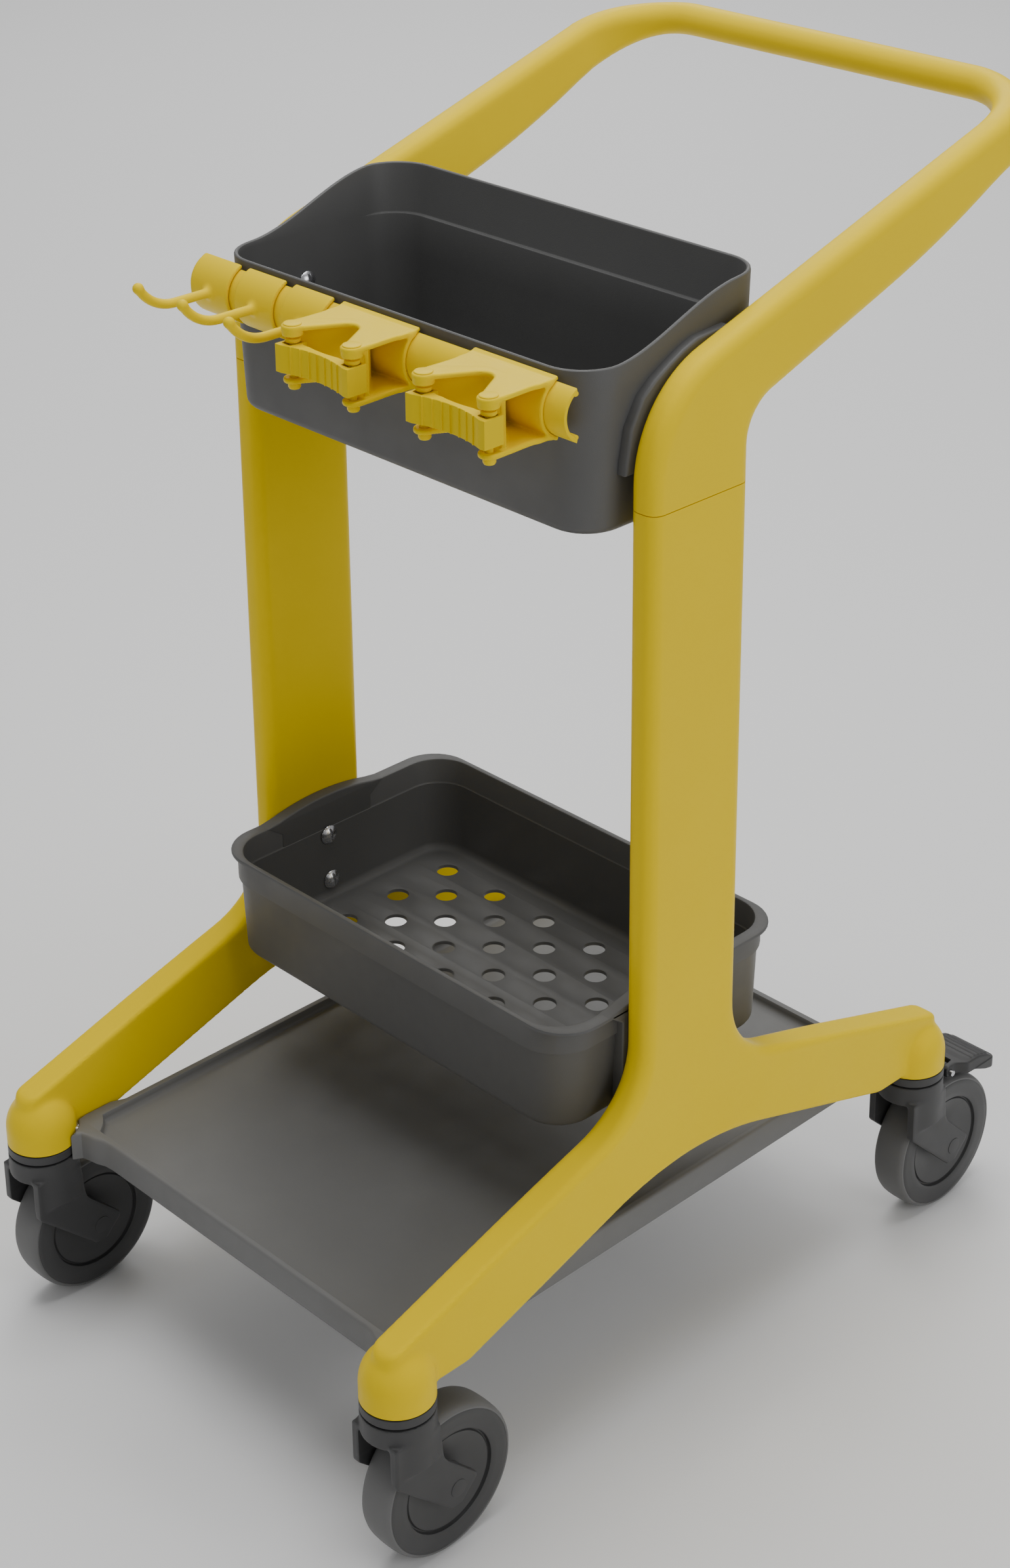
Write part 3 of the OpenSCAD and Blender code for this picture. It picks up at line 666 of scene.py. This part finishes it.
def bolts(heights, seats):
    shape = Shape()
    for z, seat in zip(heights, seats):
        shape.add(bolt(seat).moved(dz=z))
        shape.add(revolve([(0, seat - 0.5), (4, seat - 0.5), (4, PLATE_X - 1), (0, PLATE_X - 1)],
                          "x", 20, (0, 0, z)))
    return shape


bin_bolts = bolts((788, 833), (193.9, 194.85))
tray_bolts = bolts((287.6, 331), (191.9, 193.6))
for group, shape in (("bin", bin_bolts), ("tray", tray_bolts)):
    for side in ("left", "right"):
        piece(f"{group.title()}_Bolts_{side.title()}",
              shape if side == "right" else shape.mirrored(), "chassis", "bolts",
              [f"{group}_bolts_{side}"])

# ----------------------------------------------------------------- lower tray
TRAY_FRONT, TRAY_BACK, TRAY_W, TRAY_R = -113.5, 137.5, 200.5, 38
TRAY_RIM_Z, TRAY_Z, BAND_Z = 361, 269, 338
DRAIN_R, DRAIN_X, DRAIN_U, DRAIN_SIDES = 9.5, 30.3, 29.4, 28
TRAY_MIDDLE_U = 10.5


def tray_ring(depth, z, wider=0.0, radius=None):
    r = TRAY_R - depth if radius is None else radius
    return [(x, u, z) for x,
            u in box_loop(TRAY_W + wider - depth, TRAY_FRONT + depth, TRAY_BACK - depth, max(r, 4),
                          9, 14, 14)]


def tray_shell():
    """Walls with a band and a lip, and a floor with drain holes in staggered rows."""
    shape = Shape()
    floor = TRAY_Z + WALL
    turns = quarter_turn(4)
    rings = [tray_ring(5 + 6 * (1 - math.sin(t)), TRAY_Z + 6 * (1 - math.cos(t))) for t in turns]
    rings += [tray_ring(2.6, BAND_Z - 1.6), tray_ring(2.2, BAND_Z - 0.6), tray_ring(0.8, BAND_Z),
              tray_ring(0.2, BAND_Z + 0.5), tray_ring(0, BAND_Z + 1.5)]
    rings += [tray_ring(0, 357.2), tray_ring(0, 358.0, 0.8, 37.8), tray_ring(0, 358.1, 5.7, 35),
              tray_ring(0, 358.7, 6.4, 35), tray_ring(0, 360.0, 6.4, 35),
              tray_ring(0.5, 360.8, 6.4, 34.5), tray_ring(1.4, TRAY_RIM_Z, 6.4, 34)]
    rings += [tray_ring(3.6, TRAY_RIM_Z), tray_ring(4.5, 360.6), tray_ring(5, 359.6),
              tray_ring(5, BAND_Z + 0.8), tray_ring(5.3, BAND_Z), tray_ring(6, BAND_Z - 0.8)]
    rings += [tray_ring(8.4 + 7 * (1 - math.cos(t)), floor + 7 * (1 - math.sin(t))) for t in turns]
    loops = [shape.ring(r) for r in rings]
    shape.skin(loops)
    top, low = [loops[-1]], [loops[0]]
    lead = 0.9
    for i in range(-5, 6):
        for k in range(-3, 4):
            if (i + k) % 2:
                continue
            centre = (i * DRAIN_X, TRAY_MIDDLE_U + k * DRAIN_U)
            levels = [(DRAIN_R + lead, floor), (DRAIN_R + 0.25, floor - 0.3),
                      (DRAIN_R, floor - 0.9), (DRAIN_R, TRAY_Z + 0.5), (DRAIN_R + 0.5, TRAY_Z)]
            hole = [shape.ring((*p, z) for p in clockwise_circle(centre, r, DRAIN_SIDES)) for r,
                    z in levels]
            shape.skin(hole)
            top.append(hole[0])
            low.append(hole[-1])
    shape.fill(top)
    shape.fill(low)
    return shape


TRAY_PAD = [(-50, 276), (50, 276), (50, 350), (65, TRAY_RIM_Z)]
TRAY_PAD += [(k * 6.5, TRAY_RIM_Z + 8 - 6 * (k / 8) ** 2) for k in range(8, -9, -1)] + [(-65,
        TRAY_RIM_Z), (-50, 350)]
piece("Lower_Tray", tray_shell().add(both(prism([TRAY_PAD], 195, 206.9, 1.5, "x"))), "chassis",
      "dark_plastic", ["lower_tray"])

# ------------------------------------------------------------------ base deck
DECK_W, DECK_END = 201.6, HALF_BASE - 23
DECK_TOP_Z, DECK_FLOOR_Z, DECK_LOW_Z = 168, 160, 143


def four_ways(quarter):
    """Loop from the part of it with x and u above 0, given anticlockwise."""
    right = quarter + [(x, -u) for x, u in reversed(quarter)]
    count = len(quarter)
    top_right = right[:count]
    return ([(x, -u) for x, u in reversed(top_right)] + top_right + [(-x, u) for x,
            u in reversed(top_right)]
            + [(-x, -u) for x, u in top_right])


def deck_outline():
    """Outline with a notch round each castor."""
    notch = FOOT_R + 1.5
    begin, finish = 180 + 62, 180 + 17
    quarter = [(DECK_W, 0), (DECK_W, 223.5), (206.4, 235.5), (206.4, 261)]
    quarter += arc((CASTOR_X, HALF_BASE), notch, begin, finish, 10)
    quarter += [(186, 279.5), (180, 278), (172, 276.5), (164, 273.4), (156, DECK_END),
                (80, DECK_END)]
    return four_ways(quarter[1:])


def deck_recess(depth):
    """Inner loop of the rim, depth inside its edge."""
    w, end, corner = DECK_W - 6 - depth, DECK_END - 6 - depth, 50 + depth
    cut_u = HALF_BASE - math.sqrt(corner**2 - (CASTOR_X - w) ** 2)
    cut_x = CASTOR_X - math.sqrt(corner**2 - (HALF_BASE - end) ** 2)
    first = math.degrees(math.atan2(cut_u - HALF_BASE, w - CASTOR_X))
    last = math.degrees(math.atan2(end - HALF_BASE, cut_x - CASTOR_X))
    return four_ways(arc((CASTOR_X, HALF_BASE), corner, first, last, 10))


def deck_shape():
    """Deck with a shallow recess on top and a hollow below."""
    shape = Shape()
    outer, low = deck_outline(), DECK_LOW_Z
    rings = []
    for depth, z in ((2.0, low), (0.5, low + 0.4), (0, low + 1.2), (0, 165.2), (0.35, 166.6),
                     (1.2, 167.6), (2.2, DECK_TOP_Z)):
        rings.append(shape.ring((*p, z) for p in (inset(outer, depth) if depth else outer)))
    shape.skin(rings)
    levels = [(-0.9, DECK_TOP_Z), (0.1, 167.6), (0.6, 166.6)]
    cove = 4
    levels += [(0.9 + cove * (1 - math.cos(t)),
                DECK_FLOOR_Z + cove * (1 - math.sin(t))) for t in quarter_turn(4)]
    inner = [shape.ring((*p, z) for p in deck_recess(depth)) for depth, z in levels]
    shape.skin(inner)
    shape.fill([rings[-1], inner[0][::-1]])
    shape.fill([inner[-1]])
    hollow = ((-2.5, low), (-1.5, low + 1), (-0.5, low + 9), (3, DECK_FLOOR_Z - WALL))
    under = [shape.ring((*p, z) for p in deck_recess(depth)) for depth, z in hollow]
    shape.skin(under)
    shape.fill([rings[0], under[0][::-1]])
    shape.fill([under[-1]])
    return shape


# The deck takes the lighter copy of the dark plastic: painted light on its upward-facing top.
piece("Base_Deck", deck_shape(), "chassis", "dark_plastic", ["base_deck"], material=DECK_PLASTIC_PAINTED_LIGHT)

# ------------------------------------------------------------------ tool rail
RAIL_U, RAIL_R, RAIL_THICK = -80.5, 22.25, 3
RAIL_LEFT, RAIL_RIGHT = -212, 197
SLEEVE_IN, SLEEVE_OUT = 22.55, 25.5


def rail_profile():
    """Round front with a small hooked lip at each edge, in (u, z)."""
    spread_angle = 64.6
    outer = arc((RAIL_U, RAIL_Z), RAIL_R, 180 - spread_angle, 180 + spread_angle, 26)
    inner = arc((RAIL_U, RAIL_Z), RAIL_R - RAIL_THICK, 180 + spread_angle - 9,
                180 - spread_angle + 9, 22)
    a0, a1 = np.array(outer[0]), np.array(outer[-1])
    lip = [(0.5, 2.4), (1.5, 3.3), (1.5, 4.8), (0.5, 5.8), (-1.6, 5.9), (-2.9, 5.0)]
    return [*outer, *((a1[0] + a, a1[1] + b) for a, b in lip), *inner,
            *((a0[0] + a, a0[1] - b) for a, b in reversed(lip))]


rail = prism([rail_profile()], RAIL_LEFT, RAIL_RIGHT, 0.7, "x", 2)
for x in (-132.5, -4, 136):
    boss = revolve([(2.2, 90), (6, 90), (6, 100.2), (2.2, 100.2)], "z", 24, (x, RAIL_Z, 0),
                   closed=True)
    boss.verts = [(a, -c, b) for a, b, c in boss.verts]
    rail.add(boss)
piece("Tool_Rail", rail, "chassis", "yellow_fittings", ["tool_rail"])

SLEEVE_LOOP = arc((RAIL_U, RAIL_Z), SLEEVE_OUT, 110, 250, 28) + arc((RAIL_U, RAIL_Z), SLEEVE_IN,
        250, 110, 26)


def sleeve(x, u, z, width):
    return join_round(to_polygon(SLEEVE_LOOP, u, z), np.abs(x) - width / 2, 1.2)


HOOK_W, ROD_R, ROD_BEND = 44, 3.8, 38
ROD_LINE = [(-103.4, RAIL_Z), (-138, RAIL_Z)] + arc((-138, RAIL_Z + ROD_BEND), ROD_BEND, 270, 210,
                                                    12)[1:]


def hook(x, u, z):
    """Sleeve with a rod that turns up at its end."""
    rod = to_path(ROD_LINE, ROD_R, x, u, z)
    tip = np.sqrt(x * x + (u - ROD_LINE[-1][0]) ** 2 + (z - ROD_LINE[-1][1]) ** 2) - (ROD_R + 0.25)
    return soft_min(sleeve(x, u, z, HOOK_W), soft_min(rod, tip, 2), 5)


hook_shape = cast(hook, (-23, -177, 822), (23, -86, 880), HOOK_STEP)
for k in (1, 2, 3):
    x = middle(f"hook_{k}")[0]
    piece(f"Rail_Hook_{k}", hook_shape, f"hook_module_{k}", "yellow_fittings", [f"hook_{k}"],
          at=(x, 0, 0))

# ---------------------------------------------------------------- grip clips
CLIP_W, JAW_X, JAW_U, PRONG_R = 83, 32.5, -146, 8
THROAT_U, THROAT_R = -124, 10
JAW_TOP_Z, JAW_LOW_Z, JAW_T = 873, 829, 4
PIN_R = 3


def jaw_polygon():
    """Plate with two round prongs and a throat like a V with a round end between them."""
    right = arc((JAW_X, JAW_U), PRONG_R, -180, 0, 14)
    right += [(JAW_X + 7.6, -128), (JAW_X + 7, -114), (JAW_X + 7.4, -109.5),
              (CLIP_W / 2 - 0.6, -105.5), (CLIP_W / 2 - 0.6, -94)]
    lean = math.atan2(JAW_U - THROAT_U,
                      JAW_X - PRONG_R) + math.acos(THROAT_R / math.hypot(JAW_U - THROAT_U,
                              JAW_X - PRONG_R))
    lean = math.degrees(lean)
    throat = arc((0, THROAT_U), THROAT_R, 180 - lean, lean, 14)
    return right + [(-x, u) for x, u in reversed(right)] + throat


JAW_POLYGON = jaw_polygon()
JAW_WALL = [(37.4, -135.0), (8.7, -108.2), (-1, -108.2), (-1, -111.4), (7.4, -111.4),
            (35.4, -137.6)]


def clip(x, u, z):
    """Two forked plates and the walls between them, on a sleeve."""
    plan = to_polygon(JAW_POLYGON, x, u)
    mid = (JAW_TOP_Z + JAW_LOW_Z) / 2
    plates = join_round(plan,
                        np.abs(np.abs(z - mid) - (JAW_TOP_Z - JAW_LOW_Z - JAW_T) / 2) - JAW_T / 2,
                        1.5)
    tall = np.abs(z - mid) - (JAW_TOP_Z - JAW_LOW_Z) / 2 + 1
    boss = join_round(np.hypot(np.abs(x) - JAW_X, u - JAW_U) - PRONG_R,
                      np.abs(z - JAW_TOP_Z + 4) - 4, 1.2)
    plates = soft_min(plates, boss, 1.5)
    walls = np.maximum(to_polygon(JAW_WALL, np.abs(x), u), tall)
    body = soft_min(soft_min(plates, sleeve(x, u, z, CLIP_W), 3), walls, 2)
    rail_room = SLEEVE_IN - np.hypot(u - RAIL_U, z - RAIL_Z)
    pin_hole = PIN_R + 0.1 - np.hypot(np.abs(x) - JAW_X, u - JAW_U)
    return np.maximum(np.maximum(body, rail_room), pin_hole)


clip_shape = cast(clip, (-43, -156, 825), (43, -86, 877), FITTING_STEP)

BAND_FRONT, BAND_Z0, BAND_H, EYE = -157, 838, 21.5, 7


def band_loop():
    """Grip strip in plan: a hollow front with thin ridges, between two square eyes."""
    reach = JAW_X + EYE
    front = [(-reach, BAND_FRONT)]
    ridges = [-JAW_X + EYE + k * (2 * (JAW_X - EYE)) / 6 for k in range(7)]
    for x in np.arange(-34, 34.1, 2.0):
        front.append((x, max(BAND_FRONT, -251 + math.sqrt(100**2 - x * x))))
    for x in ridges:
        u = max(BAND_FRONT, -251 + math.sqrt(100**2 - x * x))
        front += [(x - 0.75, u + 0.02), (x - 0.4, u - 0.8), (x + 0.4, u - 0.8),
                  (x + 0.75, u + 0.02)]
    front = sorted(p for p in front) + [(reach, BAND_FRONT)]
    back = [(reach, -139), (JAW_X - EYE, -139), (JAW_X - EYE, -143.3)]
    back += [(x, -46 - math.sqrt(99.9**2 - x * x) if abs(x) < 17 else -145) for x in np.arange(20,
            -20.1, -4.0)]
    back += [(-JAW_X + EYE, -143.3), (-JAW_X + EYE, -139), (-reach, -139)]
    return front + back


def eye_hole(s):
    x0, x1, u0, u1 = s * JAW_X - 4.8, s * JAW_X + 4.8, -152.5, -141
    return rounded([(x0, u0, 1), (x1, u0, 1), (x1, u1, 1), (x0, u1, 1)])[::-1]


band_shape = prism([band_loop(), eye_hole(-1), eye_hole(1)], BAND_Z0, BAND_Z0 + BAND_H, 0.25, "z",
                   1)

pins_shape = Shape()
for s in (-1, 1):
    pins_shape.add(revolve([(0, 874.6), (5.4, 874.5), (6.5, 874.3), (6.9, 873.9), (6.9, 873.5),
                            (6.3, 873.05), (PIN_R, 873.0), (PIN_R, 829), (4.5, 828.9), (4.8, 828.2),
                            (4.7, 825.4), (3.9, 824.0), (2.4, 823.4), (0, 823.3)], "z", 32,
                           (s * JAW_X, JAW_U, 0)))
    pins_shape.add(revolve([(PIN_R - 0.3, 859.9), (5.4, 860.1), (5.8, 860.7), (5.8, 862.4),
                            (5.4, 863.0), (PIN_R - 0.3, 863.2)], "z", 28, (s * JAW_X, JAW_U, 0)))
for k in (1, 2):
    x = middle(f"clip_body_{k}")[0]
    body = f"clip_module_{k}"
    piece(f"Clip_Body_{k}", clip_shape, body, "yellow_fittings", [f"clip_body_{k}"], at=(x, 0, 0))
    piece(f"Grip_Band_{k}", band_shape, body, "yellow_rubber", [f"grip_band_{k}"], at=(x, 0, 0),
          crease=25)
    piece(f"Clip_Pins_{k}", pins_shape, body, "yellow_fittings", [f"clip_pins_{k}"], at=(x, 0, 0))

# -------------------------------------------------------------------- castors
TRAIL, AXLE_Z = 35.6, 62.5
FORK_TOP, CROWN_Z, FORK_IN, FORK_OUT = 145.9, 128, 17.3, 24.5
ARM_END, ARM_BAND = 13.7, 15.5
LUG_U, LUG_Z = 36, 134.5


def along_arm(d, s):
    return (TRAIL + (d + s) / math.sqrt(2), AXLE_Z + (s - d) / math.sqrt(2))


ARM_SIDE = rounded([(-24, 132, 0), (-24, 97, 5), (*along_arm(ARM_END, -ARM_BAND), 3),
                    (*along_arm(ARM_END, ARM_BAND), 4),
                    (*along_arm(-34, ARM_BAND), 16), (19, 132, 0)])


def fork(x, u, z, braked):
    """Round housing with two arms, and a lug for the pedal on a braked castor."""
    reach = np.hypot(x, u)
    housing = join_round(reach - FOOT_R, np.abs(z - (104 + FORK_TOP) / 2) - (FORK_TOP - 104) / 2,
                         1.2)
    arms = join_round(to_polygon(ARM_SIDE, u, z),
                      np.abs(np.abs(x) - (FORK_IN + FORK_OUT) / 2) - (FORK_OUT - FORK_IN) / 2, 1.3)
    body = soft_min(housing, arms, 4)
    if braked:
        lug = join_round(to_polygon([(18, LUG_Z - 5), (40, LUG_Z - 5), (40, LUG_Z + 5),
                                     (18, LUG_Z + 5)], u, z), np.abs(x) - 10, 1)
        body = soft_min(body, lug, 2)
    slot = join_round(np.abs(x) - FORK_IN, z - CROWN_Z, 2)
    body = soft_max(body, -slot, 1.2)
    axle_hole = np.hypot(u - TRAIL, z - AXLE_Z) - 4.0
    return np.maximum(body, -axle_hole)


def fork_shape(braked):
    return cast(lambda x, u, z: fork(x, u, z, braked), (-31, -31, 47), (31, 62, 149), FORK_STEP)


PEDAL_END, PEDAL_HALF = 91, 25
PEDAL_SIDE = rounded([(31, 139, 1.5), (34, 141, 3), (48, 142.5, 10), (66, 141.5, 25),
                      (80, 136.5, 16), (PEDAL_END, 129, 5), (PEDAL_END - 2, 119, 4),
                      (76, 122.5, 8), (60, 129.8, 10), (45, 130.5, 4), (33, 130, 1.5),
                      (31, 132, 1)][::-1])


def pedal(x, u, z):
    """Foot lever: a narrow root round the pin, then a wide ribbed tread with a skirt."""
    spread = np.clip((u - 40) / 12, 0, 1)
    width = 16.5 + (PEDAL_HALF - 16.5) * spread * spread * (3 - 2 * spread)
    corner = np.hypot(np.maximum(np.abs(x) - (PEDAL_HALF - 9), 0),
                      np.maximum(u - (PEDAL_END - 9), 0)) - 9
    body = join_round(to_polygon(PEDAL_SIDE, u, z),
                      np.maximum(np.abs(x) - width, np.where(u > PEDAL_END - 9, corner, -9)), 2.0)
    ribs = np.clip(np.cos((u - 57) * 2 * math.pi / 5.6) + 0.2, 0,
                   1) * ((u > 55) & (u < 82) & (np.abs(x) < PEDAL_HALF - 4))
    body = np.where(z > 131, body + 0.7 - 0.7 * ribs, body)
    lug_room = np.maximum(np.maximum(np.abs(x) - 10.5, u - 43), 25 - u)
    pin_room = np.hypot(u - LUG_U, z - LUG_Z) - 2.55
    return np.maximum(np.maximum(body, -lug_room), -pin_room)


CORE_HALF = [(9, 16.9), (13, 17), (13.4, 16.4), (14.5, 10.2), (17, 9.7), (28, 10.8), (38.4, 13.0),
             (39.6, 13.2), (40.2, 12.4), (40.7, 11.8), (41.6, 11.8),
             (42.1, 12.6), (42.3, 14.6), (43.2, 15.2), (48, 15.4), (54, 15.6), (57.2, 15.55),
             (58.2, 15.0)]


def whole_profile(half):
    """Profile from the half of it with positive heights."""
    return half + [(r, -h) for r, h in reversed(half)]


core_shape = revolve(whole_profile(CORE_HALF), "x", 96, (0, TRAIL, AXLE_Z), closed=True)
TYRE_HALF = [(57.9, 14.9), (58.5, 15.5), (59.6, 15.3), (60.7, 14.2), (61.6, 12.2), (62.1, 9.4),
             (62.38, 5.5), (62.5, 1.5)]
tyre_shape = revolve(whole_profile(TYRE_HALF), "x", 120, (0, TRAIL, AXLE_Z), closed=True)
collar_shape = revolve([(5.6, 146.45), (26.4, 146.45), (26.5, 147.5), (28.1, 147.65),
                        (28.5, 148.1), (28.5, 154.7), (28.1, 155.15), (26.5, 155.3), (26.4, 156.35),
                        (5.6, 156.35)], "z", 96, closed=True)
axle_shape = revolve([(0, 25.0), (6.7, 25.0), (7.2, 24.9), (7.4, 24.6), (7.4, 24.4), (3.95, 24.3),
                      (3.95, -24.3), (7.4, -24.4), (7.4, -24.6), (7.2, -24.9), (6.7, -25.0),
                      (0, -25.0)],
                     "x", 48, (0, TRAIL, AXLE_Z))
fork_plain, fork_braked = fork_shape(False), fork_shape(True)
pedal_shape = cast(pedal, (-27, 29, 110), (27, 94, 145), FITTING_STEP)

for corner in ("fl", "fr", "rl", "rr"):
    where = {"f": "front", "r": "rear"}[corner[0]] + "_" + {"l": "left", "r": "right"}[corner[1]]
    stem_x, stem_y, _ = middle(f"stem_{corner}")
    at = (stem_x, stem_y - UPRIGHT_Y, 0)
    title = where.title()
    rear = corner[0] == "r"
    piece(f"Castor_Collar_{title}", collar_shape, "chassis", "castor_plastic",
          [f"collar_{corner}"], at=at)
    piece(f"Castor_Fork_{title}", fork_braked if rear else fork_plain, f"castor_{where}",
          "castor_plastic", [f"fork_{corner}"], at=at)
    piece(f"Castor_Axle_{title}", axle_shape, f"castor_{where}", "castor_plastic",
          [f"axle_{corner}"], at=at)
    piece(f"Wheel_Core_{title}", core_shape, f"wheel_{where}", "black_plastic",
          [f"wheel_core_{corner}"], at=at, material=WHEEL_DISC)
    piece(f"Tyre_{title}", tyre_shape, f"wheel_{where}", "grey_tyre", [f"tyre_{corner}"], at=at)
    if rear:
        piece(f"Brake_Pedal_{title}", pedal_shape, f"pedal_{where}", "castor_plastic",
              [f"brake_pedal_{corner}"], at=at)

# --------------------------------------------- CAD nodes that stay as they are
KEPT = {
    "castor_steel": ["stem_fl", "stem_fr", "stem_rl", "stem_rr", "pedal_pin_rl", "pedal_pin_rr",
                     "deck_pins"]
    + [f"wheel_bearings_{c}" for c in ("fl", "fr", "rl", "rr")],
    "bolts": ["rail_screws"],
    "black_plastic": ["left_handle_spigot", "right_handle_spigot"],
}
for slot, nodes in KEPT.items():
    for node in nodes:
        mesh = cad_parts[node].data
        mesh.materials.clear()
        mesh.materials.append(FINISH[slot])

# ------------------------------------------------------- floor, light, camera


def flat_material(name, colour, roughness):
    material = bpy.data.materials.new(name)
    material.use_nodes = True
    shader = material.node_tree.nodes["Principled BSDF"]
    shader.inputs["Base Color"].default_value = (*colour, 1)
    shader.inputs["Roughness"].default_value = roughness
    shader.inputs["Specular IOR Level"].default_value = 0.1
    return material


floor_mesh = bpy.data.meshes.new("Floor")
size = 30
floor_mesh.from_pydata([(-size, -size, 0), (size, -size, 0), (size, size, 0), (-size, size, 0)],
                       [], [(0, 1, 2, 3)])
floor_mesh.materials.append(flat_material("Pale_Floor", (0.93, 0.93, 0.93), 0.9))
floor = bpy.data.objects.new("Floor", floor_mesh)
bpy.context.scene.collection.objects.link(floor)

world = bpy.data.worlds.new("Studio")
world.use_nodes = True
world.node_tree.nodes["Background"].inputs["Color"].default_value = (1, 1, 1, 1)
world.node_tree.nodes["Background"].inputs["Strength"].default_value = 0.3
bpy.context.scene.world = world


def area_light(name, location, target, size, power):
    data = bpy.data.lights.new(name, "AREA")
    data.shape = "SQUARE"
    data.size = size
    data.energy = power
    lamp = bpy.data.objects.new(name, data)
    bpy.context.scene.collection.objects.link(lamp)
    lamp.location = location
    lamp.rotation_mode = "QUATERNION"
    lamp.rotation_quaternion = (Vector(target) - Vector(location)).to_track_quat("-Z", "Y")


area_light("Key", (3.4, 0.2, 2.0), (0, 0, 0.5), 1.8, 32)
area_light("Overhead", (-0.2, 0.1, 3.3), (0, 0, 0.4), 2.4, 72)
area_light("Backdrop", (-3.0, 3.0, 3.2), (-3.0, 3.0, 0), 3.0, 75)

CAMERA_AT = (1.4578, -1.4062, 1.5503)
CAMERA_AZIMUTH, CAMERA_DOWN = math.radians(44.934), math.radians(22.441)
camera_data = bpy.data.cameras.new("Camera")
camera_data.lens = 64.801
camera_data.sensor_width = 36
camera_data.shift_x, camera_data.shift_y = -0.0416, -0.2
camera = bpy.data.objects.new("Camera", camera_data)
bpy.context.scene.collection.objects.link(camera)
camera.location = CAMERA_AT
ahead = Vector((-math.sin(CAMERA_AZIMUTH) * math.cos(CAMERA_DOWN),
                math.cos(CAMERA_AZIMUTH) * math.cos(CAMERA_DOWN), -math.sin(CAMERA_DOWN)))
camera.rotation_mode = "QUATERNION"
camera.rotation_quaternion = ahead.to_track_quat("-Z", "Y")
bpy.context.scene.camera = camera
